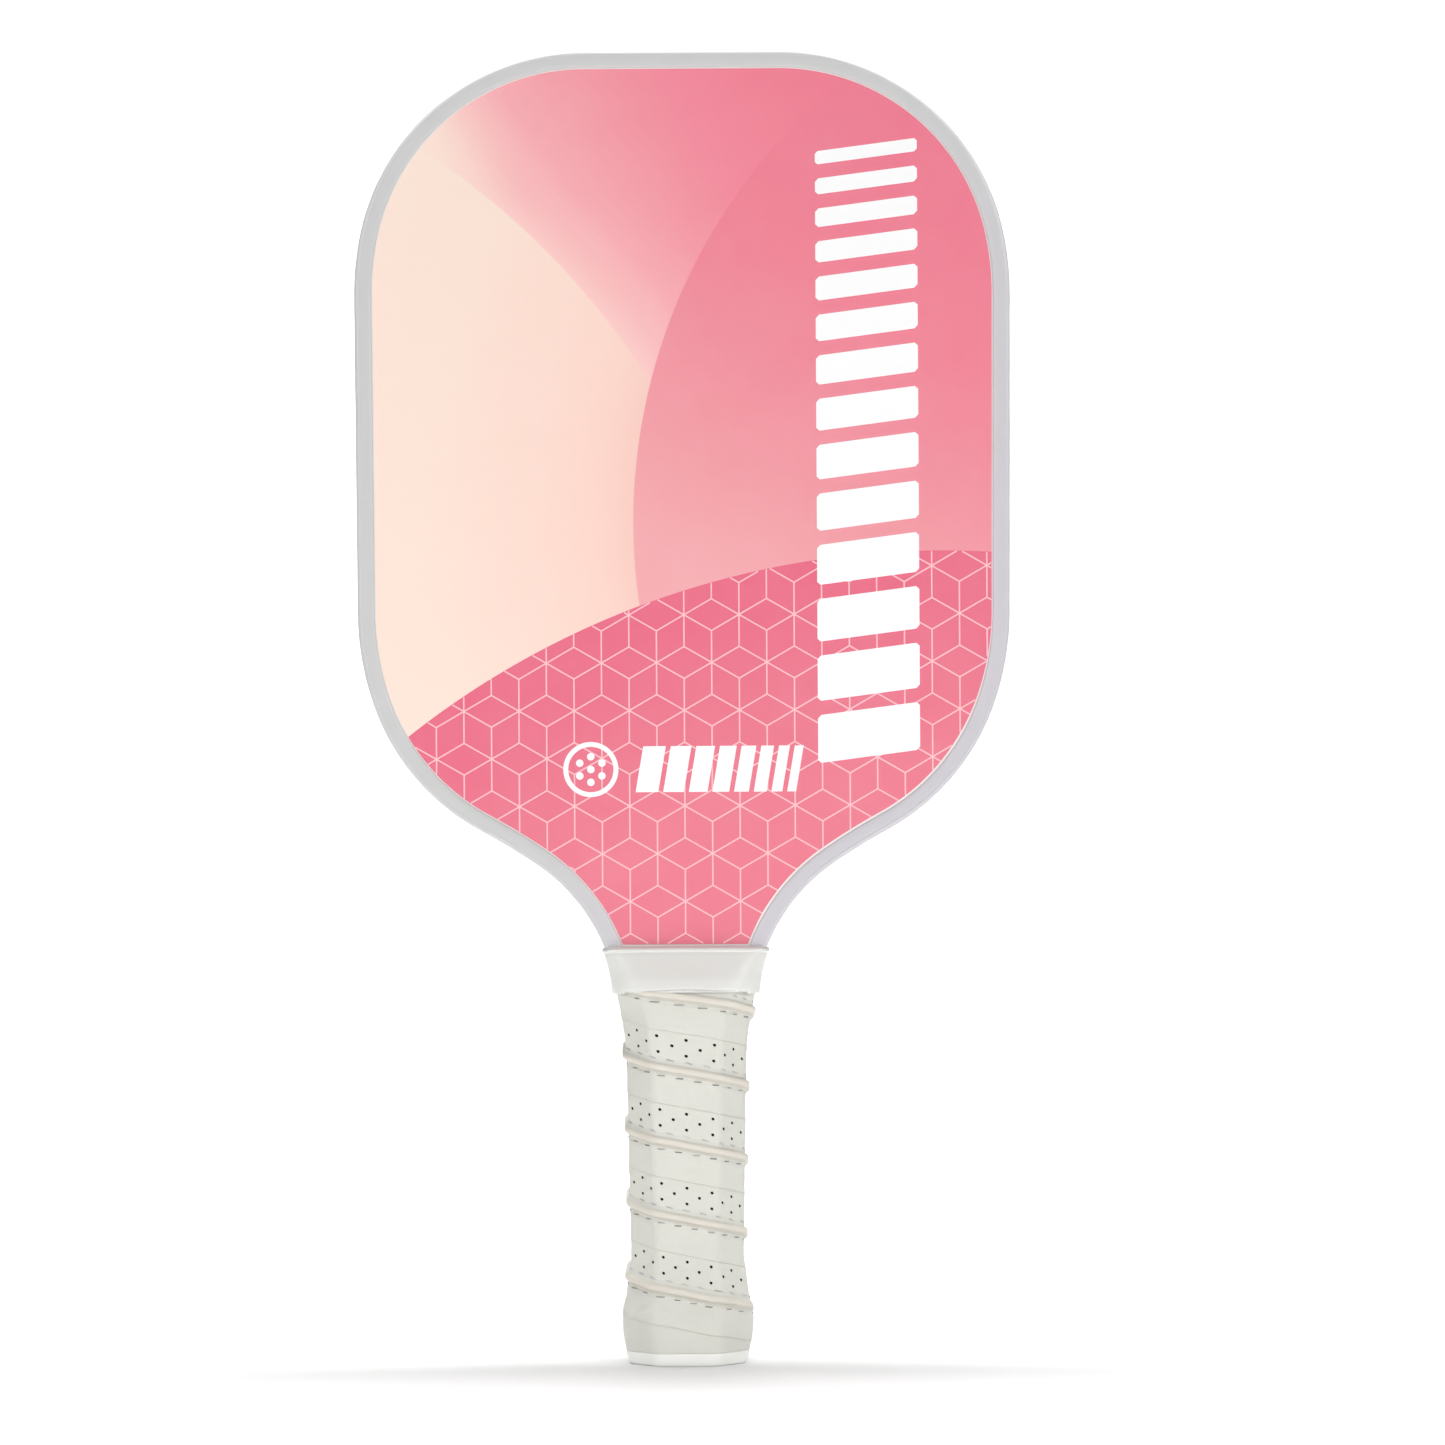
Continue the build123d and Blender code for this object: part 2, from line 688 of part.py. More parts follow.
def low_edge(offset):
    """Lower edge of the strip at an offset: the edges are cut to a long bevel."""
    return GRIP_LOW_EDGE + GRIP_LAP * (1 - offset / GRIP_T)


def top_edge(offset):
    return low_edge(offset) + GRIP_PITCH - GRIP_GAP


def band(offset, middle, edge_offset):
    """Points from the lower edge to the upper, with the given points over the rib.

    The edges are placed as for edge_offset.
    """
    below = [low_edge(edge_offset)] + LOW_KNOTS
    above = TOP_KNOTS + [top_edge(edge_offset)]
    return [(v, offset) for v in below] + middle + [(v, offset) for v in above]


def plain_band(offset, edge_offset):
    return band(offset, [(-1.5, offset), (1.5, offset)], edge_offset)


def fading(base, rise, fade):
    """Offset that stands rise above base, and sinks to base over a stretch of the strip."""
    full, gone = fade
    return lambda turn: base + rise * min(1.0, max(0.0, (gone - turn) / (gone - full)))


def ridge(base, foot, shoulder, shoulder_rise, crest_rise, fade):
    """Five points over a ridge, from its lower foot to its upper."""
    shoulder_offset = fading(base, shoulder_rise, fade)
    return [
        (-foot, base),
        (-shoulder, shoulder_offset),
        (0.0, fading(base, crest_rise, fade)),
        (shoulder, shoulder_offset),
        (foot, base),
    ]


rib_outside = ridge(
    GRIP_T, foot=RIB_HALF, shoulder=1.25, shoulder_rise=0.75, crest_rise=RIB_PROUD, fade=RIB_FADE
)
rib_inside = ridge(
    SKIN_LOW, foot=1.5, shoulder=0.95, shoulder_rise=0.85, crest_rise=1.05, fade=RIB_FADE
)
cord_section = ridge(
    CORD_LOW, foot=1.35, shoulder=0.86, shoulder_rise=0.74, crest_rise=0.94, fade=CORD_FADE
)[::-1]
skin_section = (
    band(GRIP_T, rib_outside, GRIP_T) + band(SKIN_LOW, rib_inside, CUSHION_TOP)[::-1]
)
cushion_section = (
    plain_band(CUSHION_TOP, CUSHION_TOP) + plain_band(ADHESIVE_T + LAYER_GAP, ADHESIVE_T)[::-1]
)
adhesive_section = plain_band(ADHESIVE_T, ADHESIVE_T) + plain_band(0.0, 0.0)[::-1]


# ---------------------------------------------------------------- inside of the throat collar
def collar_value(z, column):
    return interp([(row[0], row[column]) for row in COLLAR], z)


def collar_bore(heights, gap, overrun):
    """The collar's inner surface as a solid, moved inwards by gap.

    Its end sections are carried past the end heights by overrun.
    """
    placed = [heights[0] - overrun, *heights[1:-1], heights[-1] + overrun]
    stations = []
    for z, placed_z in zip(heights, placed):
        wall = collar_value(z, 3)
        width, depth = collar_value(z, 1) - wall - gap, collar_value(z, 2) - wall - gap
        stations.append((placed_z, width, depth, 0.0))
    return octagon_loft(stations)


# ---------------------------------------------------------------- grip layers and stitching
grip_zone = slab(-40, 40, -40, 40, GRIP_LOW_Z, GRIP_TOP_Z)
# the top end of the grip is squeezed to the inside of the finishing tape
squeeze_block = slab(
    -40, 40, -40, 40, TAPE_LOW_Z - SQUEEZE_OVERRUN, TAPE_TOP_Z + SQUEEZE_OVERRUN
)
outside = squeeze_block - collar_bore(TAPE_STATIONS, TAPE_T + SQUEEZE_GAP, SQUEEZE_OVERRUN)


def grip_layer(section, last):
    """A layer wound down to turn last and trimmed to the grip's height."""
    pieces = helical(section, GRIP_START_TURN, last).intersect(grip_zone)
    return one(Compound(children=list(pieces)))


def grip_stitching():
    zone = slab(-40, 40, -40, 40, GRIP_LOW_Z, COLLAR_LOW_Z - STITCH_TOP_GAP)
    foot = GRIP_T + STITCH_LIFT
    threads = []
    for row in STITCH_ROWS:
        section = [
            (row + STITCH_R * 1.4, foot),
            (row, foot + STITCH_R * 1.6),
            (row - STITCH_R * 1.4, foot),
        ]
        for piece in helical(section, GRIP_START_TURN, CORD_END_TURN).intersect(zone):
            threads += piece.solids()
    return Compound(children=threads)


parts["grip_skin"] = one(grip_layer(skin_section, GRIP_END_TURN) - outside)
parts["grip_cushion"] = one(grip_layer(cushion_section, GRIP_END_TURN) - outside)
parts["grip_adhesive"] = grip_layer(adhesive_section, GRIP_END_TURN)
parts["grip_rib_cord"] = one(grip_layer(cord_section, CORD_END_TURN) - outside)
parts["grip_stitching"] = grip_stitching()

# ---------------------------------------------------------------- finishing tape and throat collar
tape_outer = collar_bore(TAPE_STATIONS, TAPE_GAP, 0.0)
tape_inner = collar_bore(TAPE_STATIONS, TAPE_T + TAPE_GAP, CUT_OVERRUN)
parts["finishing_tape"] = one(tape_outer - tape_inner)

collar_outer = octagon_loft([(z, width, depth, 0.0) for z, width, depth, _ in COLLAR])
collar_inner = collar_bore([row[0] for row in COLLAR], 0.0, CUT_OVERRUN)
parts["throat_collar"] = one(collar_outer - collar_inner)

for name, shape in parts.items():
    shape.label = name
    export_step(shape, f"parts/{name}.step")
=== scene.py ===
"""A pickleball paddle that stands upright on the butt of its handle.

The front faces -Y, the right side (seen from the front) is +X and the tip is at z = 400.
All sizes are in mm unless noted; the meshes are scaled to metres when they are made.
The print on the back is the front's, turned half round the upright axis.
"""
import math

import bmesh
import bpy
import numpy as np
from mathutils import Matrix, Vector, noise
from mathutils.geometry import delaunay_2d_cdt


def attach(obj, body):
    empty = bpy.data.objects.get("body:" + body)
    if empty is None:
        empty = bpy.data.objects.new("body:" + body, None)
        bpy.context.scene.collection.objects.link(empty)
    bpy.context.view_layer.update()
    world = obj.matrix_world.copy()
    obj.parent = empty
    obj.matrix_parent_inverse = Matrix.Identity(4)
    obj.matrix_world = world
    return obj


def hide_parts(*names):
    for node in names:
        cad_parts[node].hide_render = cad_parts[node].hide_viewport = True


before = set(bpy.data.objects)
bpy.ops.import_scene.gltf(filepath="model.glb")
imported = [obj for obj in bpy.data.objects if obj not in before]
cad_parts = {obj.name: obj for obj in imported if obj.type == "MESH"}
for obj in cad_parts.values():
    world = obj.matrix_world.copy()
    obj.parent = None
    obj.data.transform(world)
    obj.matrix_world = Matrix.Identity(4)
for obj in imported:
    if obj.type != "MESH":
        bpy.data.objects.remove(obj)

# a fresh Blender may hold its own start-up cube, light and camera
for startup in [bpy.data.objects.get(n) for n in ("Cube", "Light", "Camera")]:
    if startup is not None:
        bpy.data.objects.remove(startup)
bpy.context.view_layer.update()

MM = 0.001

# ------------------------------------------------------------------ driving sizes
TIP_Z = 400.0
# right half of the outer line, from the tip's middle down: a line (length, 0) or
# an arc (radius, sweep in degrees; above 0 turns clockwise seen from the front)
CHAIN = [
    ("line", 29.65, 0), ("arc", 69.89, 78.14), ("arc", 89.91, 12.19), ("line", 96.64, 0),
    ("arc", 87.86, 18.62), ("arc", 69.45, 42.49), ("arc", 198.21, -5.74),
    ("arc", 56.11, -36.15), ("arc", 107.83, -18.49), ("line", 130.0, 0),
]

# half thicknesses of the blade, from its middle plane
SHEET_H, PRINT_H, LIP_H = 6.65, 6.80, 7.55

GUARD_REACH = 5.3  # how far the guard's lip comes in from the outer line
GUARD_END = 124.5
PRINT_INSET = 5.6
PRINT_LOW = 127.6
PRINT_PATH_END = 118.0  # the film's path runs on below the film and is cut off

# circles that part the print's regions: centre x, centre z, radius
CREAM_DISC = (-203.28, 180.21, 226.88)
CORAL_DISC = (158.08, 255.59, 173.32)
FIELD_DISC = (77.81, -15.44, 262.61)

# handle section: an octagon with rounded corners
HANDLE_FOOT, HANDLE_HEAD = 2.9, 130
HALF_DEPTH, BEVEL, ROUND = 13.75, 7.1, 2.2
# z, bevel
BEVELS = [(0.0, BEVEL), (107.0, BEVEL), (118.0, 5.4), (127.0, 2.4)]
# z, half depth
DEPTHS = [
    (0.0, HALF_DEPTH), (106.0, HALF_DEPTH), (113.0, 12.9), (117.0, 12.0), (124.0, 9.2),
    (HANDLE_HEAD, 8.4),
]
# z, how far the cap's skirt stands out from the handle
CAP_SKIRT = [
    (4.1, 2.0), (8.0, 2.7), (13.8, 3.15), (16.5, 2.7), (19.2, 1.8), (22.9, 1.3), (27.0, 0.6),
]

# grip strip: v is the height on the strip above its rib, which climbs one pitch a turn
PITCH, RIB_Z0 = 22.4, 67.0
TAPE_T, SKIN_IN = 1.6, 1.04  # outer and inner face of the strip, out from the handle
LOW_V, TOP_V = -11.1, 11.25
GRIP_LO, GRIP_HI = 4.15, 116.2
START_TURN = (RIB_Z0 + LOW_V - GRIP_HI) / PITCH
END_TURN = (RIB_Z0 + TOP_V - GRIP_LO) / PITCH


# ------------------------------------------------------------------ outer line
def chain_frames(z_end, step_arc, step_line):
    """(x, z, heading) along the right half of the outer line, from the tip to z_end."""
    out, x, z, heading = [], 0.0, TIP_Z, 0.0
    for kind, size, sweep in CHAIN:
        if kind == "line":
            end_x, end_z = x + size * math.cos(heading), z - size * math.sin(heading)
            stop = z_end >= end_z
            share = (z - z_end) / (z - end_z) if stop else 1.0
            count = max(1, math.ceil(size * share / step_line))
            for k in range(count):
                t = share * k / count
                out.append((x + (end_x - x) * t, z + (end_z - z) * t, heading))
            if stop:
                out.append((x + (end_x - x) * share, z_end, heading))
                return out
            x, z = end_x, end_z
        else:
            turn = math.radians(sweep)
            sign = 1 if turn > 0 else -1
            centre_x = x - sign * size * math.sin(heading)
            centre_z = z - sign * size * math.cos(heading)
            count = max(2, math.ceil(abs(turn) * size / step_arc))
            for k in range(count):
                angle = heading + turn * k / count
                point = (centre_x + sign * size * math.sin(angle),
                         centre_z + sign * size * math.cos(angle), angle)
                if point[1] <= z_end:
                    last = out[-1]
                    t = (last[1] - z_end) / (last[1] - point[1])
                    out.append(tuple(a + (b - a) * t for a, b in zip(last, point)))
                    return out
                out.append(point)
            heading += turn
            x = centre_x + sign * size * math.sin(heading)
            z = centre_z + sign * size * math.cos(heading)
    return out


def full_frames(z_end, step_arc, step_line):
    """(x, z, heading, side) up the left (side -1), over the tip and down the right."""
    right = chain_frames(z_end, step_arc, step_line)
    return [(*f, -1) for f in reversed(right[1:])] + [(*f, 1) for f in right]


def inset_point(x, z, heading, side, inset):
    return side * (x - inset * math.sin(heading)), z - inset * math.cos(heading)


# ------------------------------------------------------------------ handle section
def table(rows):
    """A function that reads between rows of (z, value)."""
    zs, values = np.array(rows).T

    def at(z):
        return np.interp(z, zs, values)
    return at


def handle_widths():
    """Half width at z: inside the outer line, run on straight down to the foot."""
    line = np.array([inset_point(*f, 1, inset=1.4)
                     for f in chain_frames(60.0, step_arc=1.5, step_line=8.0)])
    line = line[line[:, 1] < 180][::-1]
    xs, zs = np.insert(line, 0, (0.0, HANDLE_FOOT), axis=0).T
    xs[0] = xs[1] + (HANDLE_FOOT - zs[1]) * (xs[2] - xs[1]) / (zs[2] - zs[1])

    def at(z):
        return np.interp(z, zs, xs) + 0.2
    return at


width_at = handle_widths()
cap_skirt_at = table(CAP_SKIRT)
# what the strip lies on beyond the bare handle: the cap's skirt, then thin layers
skirt_at = table([(z, out + 0.3) for z, out in CAP_SKIRT]
                 + [(31.0, 0.12), (98.0, 0.12), (103.0, 0.28), (200.0, 0.28)])

SMOOTH_STEP, SMOOTH_REACH, SMOOTH_SIGMA = 0.25, 16, 1.1
SMOOTH_Z = np.arange(-20, 140, SMOOTH_STEP)
KERNEL = np.arange(-SMOOTH_REACH, SMOOTH_REACH + 1) * SMOOTH_STEP / SMOOTH_SIGMA
KERNEL = np.exp(-0.5 * KERNEL ** 2)
KERNEL /= KERNEL.sum()


def smoothed(value_at):
    """The same function of z, blurred so that the strip doesn't show corners."""
    values = value_at(np.clip(SMOOTH_Z, HANDLE_FOOT, HANDLE_HEAD))
    values = np.convolve(np.pad(values, SMOOTH_REACH, mode="edge"), KERNEL, mode="valid")

    def at(z):
        return np.interp(z, SMOOTH_Z, values)
    return at


tape_width, tape_depth = smoothed(width_at), smoothed(table(DEPTHS))
tape_skirt, tape_bevel = smoothed(skirt_at), smoothed(table(BEVELS))

# lengths round the octagon: its flats (front and back, bevels, sides) and corner arcs
FRONT, SLANT, SIDE, ARC = 15.2, 8.2, 11.5, 3.03
QUARTER = [ARC, SLANT, ARC]
ROUND_TURN = [FRONT / 2, *QUARTER, SIDE, *QUARTER, FRONT, *QUARTER, SIDE, *QUARTER, FRONT / 2]
TURN = sum(ROUND_TURN)
TURN_SHARES = np.concatenate([[0], np.cumsum(ROUND_TURN)]) / TURN
TAN_22 = math.tan(math.radians(22.5))


def octagon(share, half_w, half_d, bevel, offset, rounding=ROUND):
    """Points and outward normals on a rounded octagon.

    share is the share of a turn from the front's middle, anticlockwise from above.
    """
    share, half_w, half_d, bevel, offset = np.broadcast_arrays(
        *[np.asarray(a, float) for a in (share, half_w, half_d, bevel, offset)])
    share = np.mod(share, 1.0)
    piece = np.clip(np.searchsorted(TURN_SHARES, share, side="right") - 1, 0, 16)
    along = (share - TURN_SHARES[piece]) / (TURN_SHARES[piece + 1] - TURN_SHARES[piece])
    radius = rounding + offset
    # centres of the eight corner arcs
    ax, ay = half_w - bevel - rounding * TAN_22, half_d - rounding
    bx, by = half_w - rounding, half_d - bevel - rounding * TAN_22
    corner_x = np.stack([ax, bx, bx, ax, -ax, -bx, -bx, -ax])
    corner_y = np.stack([-ay, -by, by, ay, ay, by, -by, -ay])
    zero = np.zeros_like(ax)
    is_arc = piece % 2 == 1
    corner = piece // 2

    def take(values, which):
        return np.take_along_axis(values, np.clip(which, 0, 7)[None], 0)[0]

    from_x = np.where(piece == 0, zero, take(corner_x, corner - 1))
    from_y = np.where(piece == 0, -ay, take(corner_y, corner - 1))
    to_x = np.where(piece == 16, zero, take(corner_x, corner))
    to_y = np.where(piece == 16, -ay, take(corner_y, corner))
    centre_x = np.where(is_arc, take(corner_x, corner), from_x + (to_x - from_x) * along)
    centre_y = np.where(is_arc, take(corner_y, corner), from_y + (to_y - from_y) * along)
    angle = np.radians(-90 + 45 * corner + np.where(is_arc, 45 * along, 0))
    normal_x, normal_y = np.cos(angle), np.sin(angle)
    return centre_x + radius * normal_x, centre_y + radius * normal_y, normal_x, normal_y


# ------------------------------------------------------------------ shader helper
def lin(color):
    """Linear RGBA from 0-255 sRGB."""
    shares = [c / 255 for c in color]
    return tuple(c / 12.92 if c <= 0.04045 else ((c + 0.055) / 1.055) ** 2.4
                 for c in shares) + (1.0,)


class Graph:
    """A Principled material whose textures work in mm on the part's own axes."""

    def __init__(self, name):
        self.material = bpy.data.materials.new(name)
        self.material.use_nodes = True
        self.tree = self.material.node_tree
        self.tree.nodes.clear()
        output = self.node("OutputMaterial")
        self.principled = self.node("BsdfPrincipled")
        self.link(self.principled.outputs[0], output.inputs[0])
        coords = self.node("TexCoord")
        scaled = self.node("VectorMath")
        scaled.operation = "SCALE"
        self.link(coords.outputs["Object"], scaled.inputs[0])
        scaled.inputs["Scale"].default_value = 1000.0
        self.pos = scaled.outputs[0]

    def node(self, kind):
        return self.tree.nodes.new("ShaderNode" + kind)

    def link(self, value, socket):
        """Links an output, or sets a plain value."""
        if hasattr(value, "node"):
            self.tree.links.new(value, socket)
        else:
            socket.default_value = value

    def xyz(self):
        node = self.node("SeparateXYZ")
        self.link(self.pos, node.inputs[0])
        return node.outputs

    def math(self, operation, a, b=0.0, clamp=False):
        node = self.node("Math")
        node.operation, node.use_clamp = operation, clamp
        self.link(a, node.inputs[0])
        self.link(b, node.inputs[1])
        return node.outputs[0]

    def add(self, a, b):
        return self.math("ADD", a, b)

    def sub(self, a, b):
        return self.math("SUBTRACT", a, b)

    def mul(self, a, b):
        return self.math("MULTIPLY", a, b)

    def sine(self, a):
        return self.math("SINE", a)

    def span(self, value, of, to=(0.0, 1.0), smooth=False):
        """Maps the range `of` onto the range `to`, clamped."""
        node = self.node("MapRange")
        node.interpolation_type = "SMOOTHSTEP" if smooth else "LINEAR"
        sockets = ("Value", "From Min", "From Max", "To Min", "To Max")
        for socket, x in zip(sockets, (value, *of, *to)):
            self.link(x, node.inputs[socket])
        return node.outputs[0]

    def mix(self, share, a, b):
        node = self.node("Mix")
        node.data_type = "RGBA"
        self.link(share, node.inputs[0])
        self.link(a, node.inputs[6])
        self.link(b, node.inputs[7])
        return node.outputs[2]

    def ramp(self, value, stops):
        """stops: (value, sRGB) in rising order; the values are in the input's units."""
        low, high = stops[0][0], stops[-1][0]
        node = self.node("ValToRGB")
        self.link(self.span(value, of=(low, high)), node.inputs[0])
        elements = node.color_ramp.elements
        elements[0].position, elements[0].color = 0.0, lin(stops[0][1])
        elements[1].position, elements[1].color = 1.0, lin(stops[-1][1])
        for x, color in stops[1:-1]:
            elements.new((x - low) / (high - low)).color = lin(color)
        return node.outputs[0]

    def ink(self, value, stops):
        """A ramp of printed pinks; the deeper a pink, the more ink it takes."""
        inked = []
        for x, (red, green, blue) in stops:
            deep = min(1, max(0, (225 - green) / 90))
            inked.append((x, (red, green - 8 * deep, blue - 5 * deep)))
        return self.ramp(value, inked)

    def noise(self, scale, detail=3.0, rough=0.5, stretch=None, warp=0.0):
        """Noise over the part, scale in cycles per mm."""
        vector = self.pos
        if stretch:
            stretched = self.node("VectorMath")
            stretched.operation = "MULTIPLY"
            self.link(self.pos, stretched.inputs[0])
            stretched.inputs[1].default_value = stretch
            vector = stretched.outputs[0]
        node = self.node("TexNoise")
        self.link(vector, node.inputs["Vector"])
        node.inputs["Scale"].default_value = scale
        node.inputs["Detail"].default_value = detail
        node.inputs["Roughness"].default_value = rough
        node.inputs["Distortion"].default_value = warp
        return node.outputs[0]

    def uneven(self, scale, to):
        """A value that drifts over the part within the range `to`."""
        return self.span(self.noise(scale=scale), of=(0.3, 0.7), to=to)

    def cells(self, scale):
        node = self.node("TexVoronoi")
        self.link(self.pos, node.inputs["Vector"])
        node.inputs["Scale"].default_value = scale
        return node.outputs["Distance"]

    def attr(self, name):
        node = self.node("Attribute")
        node.attribute_name = name
        return node.outputs["Fac"]

    def distance(self, x, z, disc):
        """Distance from a disc's centre in the XZ plane."""
        dx, dz = self.sub(x, disc[0]), self.sub(z, disc[1])
        return self.math("SQRT", self.add(self.mul(dx, dx), self.mul(dz, dz)))

    def speckled(self, color, amount, scale, tint=(0.75, 0.72, 0.66)):
        """A base colour with soft uneven tone."""
        base = lin(color)
        share = self.span(self.noise(scale=scale, detail=4, rough=0.6),
                          of=(0.35, 0.75), to=(0.0, amount))
        return self.mix(share, base, tuple(b * t for b, t in zip(base, tint)) + (1,))

    def done(self, color, rough, height=None, depth=0.05, strength=0.6, **more):
        """height is 0 to 1; depth is how far that moves the surface, in mm."""
        self.link(color, self.principled.inputs["Base Color"])
        self.link(rough, self.principled.inputs["Roughness"])
        if height is not None:
            bump = self.node("Bump")
            bump.inputs["Strength"].default_value = strength
            bump.inputs["Distance"].default_value = depth * MM
            self.link(height, bump.inputs["Height"])
            self.link(bump.outputs[0], self.principled.inputs["Normal"])
        for name, value in more.items():
            self.principled.inputs[name.replace("_", " ")].default_value = value
        return self.material


# ------------------------------------------------------------------ materials
def guard_material():
    g = Graph("guard_satin_plastic")
    x, _, z = g.xyz()
    # grey that turns faintly lilac towards the lower right
    slope = g.span(g.sub(x, g.mul(z, 0.6)), of=(-180, -30), smooth=True)
    color = g.mix(slope, lin((207, 207, 207)), lin((208, 205, 211)))
    tone = g.span(g.noise(scale=0.08, detail=5, rough=0.6), of=(0.4, 0.8), to=(0, 0.10))
    color = g.mix(tone, color, lin((190, 188, 186)))
    scuff = g.span(g.noise(scale=0.5, detail=6, rough=0.7, stretch=(1, 1, 0.25), warp=0.6),
                   of=(0.66, 0.74))
    color = g.mix(g.mul(scuff, 0.18), color, lin((150, 148, 146)))
    height = g.add(g.mul(g.noise(scale=1.8), 0.7), g.mul(g.noise(scale=7, detail=2), 0.3))
    return g.done(color, g.uneven(scale=0.3, to=(0.30, 0.44)), height,
                  depth=0.03, strength=0.35, Specular_IOR_Level=0.5)


# colour stops of the print; the first column is mm outside the coral disc
CREAM_STOPS = [
    (0, (249, 205, 194)), (8.5, (251, 212, 200)), (16, (252, 216, 203)), (32, (252, 221, 208)),
    (44, (252, 223, 209)), (57, (251, 226, 212)), (90, (252, 229, 214)),
]
# mm outside the cream disc
BLUSH_STOPS = [
    (0, (252, 206, 202)), (4.5, (250, 197, 195)), (8.6, (249, 190, 190)),
    (13.8, (249, 185, 187)), (19, (247, 175, 180)), (33, (245, 162, 171)),
    (43, (244, 153, 165)), (54, (243, 144, 160)), (72, (241, 137, 154)), (86, (240, 131, 150)),
]
# height, on lines that slope down to the right
CORAL_STOPS = [
    (222, (243, 176, 179)), (251, (242, 167, 172)), (263, (241, 162, 169)),
    (282, (241, 156, 165)), (300, (240, 149, 161)), (337, (240, 138, 154)),
    (398, (238, 131, 150)),
]
# mm inside the field disc
FIELD_STOPS = [
    (0, (233, 117, 140)), (25, (234, 124, 144)), (60, (236, 133, 149)), (120, (237, 137, 152)),
]


def cream_color(g, x, z):
    return g.ramp(g.sub(g.distance(x, z, CORAL_DISC), CORAL_DISC[2]), CREAM_STOPS)


def blush_color(g, x, z):
    cream = cream_color(g, x, z)
    outside = g.sub(g.distance(x, z, CREAM_DISC), CREAM_DISC[2])
    # the deepening holds back near the tip
    above = g.math("MAXIMUM", g.sub(z, 357.9), 0.0)
    color = g.ink(g.sub(outside, g.mul(above, 0.3)), BLUSH_STOPS)
    # fades into cream at the far left, close to the cream disc
    fade = g.mul(g.span(x, of=(-84, -46), to=(1, 0), smooth=True),
                 g.span(outside, of=(2, 34), to=(1, 0), smooth=True))
    return g.mix(fade, color, cream)


def coral_color(g, x, z):
    return g.ink(g.add(z, g.mul(g.sub(x, 32.1), 0.58)), CORAL_STOPS)


def field_color(g, x, z):
    return g.ink(g.sub(FIELD_DISC[2], g.distance(x, z, FIELD_DISC)), FIELD_STOPS)


def print_material(kind, color_of, side):
    """side is 1 on the front and -1 on the back, where the print is turned half round."""
    g = Graph(f"print_{kind}_{'front' if side > 0 else 'back'}")
    x, _, z = g.xyz()
    if side < 0:
        x = g.mul(x, -1.0)
    tone = g.span(g.noise(scale=0.05, detail=4, rough=0.55), of=(0.35, 0.75), to=(0, 0.03))
    color = g.mix(tone, color_of(g, x, z), lin((255, 255, 255)))
    # fine grit over a woven cloth that shows faintly through the film
    thread_rate = 3.1  # radians per mm
    weave = g.mul(g.sine(g.mul(x, thread_rate)), g.sine(g.mul(z, thread_rate)))
    grit = g.noise(scale=3.2, detail=4, rough=0.65)
    height = g.add(g.mul(grit, 0.8), g.mul(weave, 0.06))
    return g.done(color, g.uneven(scale=0.12, to=(0.50, 0.62)), height,
                  depth=0.035, strength=0.35, Specular_IOR_Level=0.28)


def plain_material(name, color, rough, scale, depth, amount, fine=4.0, strength=0.5, more=None):
    g = Graph(name)
    height = g.add(g.mul(g.noise(scale=scale * 4, detail=4), 0.5),
                   g.mul(g.noise(scale=fine), 0.5))
    return g.done(g.speckled(color, amount=amount, scale=scale),
                  g.uneven(scale=scale * 2, to=(rough - 0.06, rough + 0.06)), height,
                  depth=depth, strength=strength, **(more or {}))


def skin_material():
    g = Graph("grip_soft_polyurethane")
    color = g.speckled((224, 223, 214), amount=0.10, scale=0.06, tint=(0.90, 0.88, 0.82))
    # attribute, how strongly it tints, tint
    for name, share, tint in (("rib", 0.85, (229, 221, 208)),
                              # painted shade in a band under the rib, where its cord overhangs
                              # the strip
                              ("under_rib", 0.55, (186, 178, 165)),
                              # painted shade along the strip's edges, where one turn laps over
                              # the next
                              ("seam", 0.22, (196, 191, 182))):
        color = g.mix(g.mul(g.attr(name), share), color, lin(tint))
    stain = g.span(g.noise(scale=0.22, detail=5, rough=0.6, warp=0.8), of=(0.56, 0.78))
    color = g.mix(g.mul(stain, 0.22), color, lin((214, 207, 194)))
    # pebble grain with fine creases
    pebble = g.math("SUBTRACT", 1.0, g.mul(g.cells(scale=1.9), 1.3), clamp=True)
    crease = g.span(g.noise(scale=0.55, detail=5, rough=0.6, stretch=(1, 1, 2.2), warp=0.9),
                    of=(0.44, 0.56), smooth=True)
    height = g.add(g.mul(pebble, 0.30),
                   g.add(g.mul(crease, 0.40), g.mul(g.noise(scale=6), 0.3)))
    return g.done(color, g.uneven(scale=0.5, to=(0.52, 0.66)), height, depth=0.09,
                  strength=0.45, Specular_IOR_Level=0.35, Subsurface_Weight=0.04)


def cloth_material():
    g = Graph("face_glass_cloth_white")
    x, y, z = g.xyz()
    rate = 2 * math.pi / 1.4  # radians per mm, from the thread pitch
    weave = g.add(g.sine(g.mul(g.add(x, y), rate)), g.sine(g.mul(z, rate)))
    height = g.add(g.span(weave, of=(-2, 2)), g.mul(g.noise(scale=5, detail=2), 0.3))
    return g.done(g.speckled((243, 240, 238), amount=0.1, scale=0.15), rough=0.5,
                  height=height, depth=0.03)


def thread_material(name, dark, pale):
    """Twisted white thread, some stitches greyer than others: the greys are painted shade."""
    g = Graph(name)
    x, y, z = g.xyz()
    rate = 2 * math.pi / 0.42  # radians per mm, from the pitch of the twist
    twist = g.sine(g.mul(g.add(g.add(x, y), g.mul(z, 0.6)), rate))
    # painted shade: darker patches stand in for the shadow at the needle holes
    color = g.mix(g.span(g.noise(scale=0.16, detail=2), of=(0.42, 0.58)), lin(dark), lin(pale))
    height = g.add(g.span(twist, of=(-1, 1)), g.mul(g.noise(scale=6, detail=2), 0.4))
    return g.done(color, rough=0.75, height=height, depth=0.05, strength=0.6)


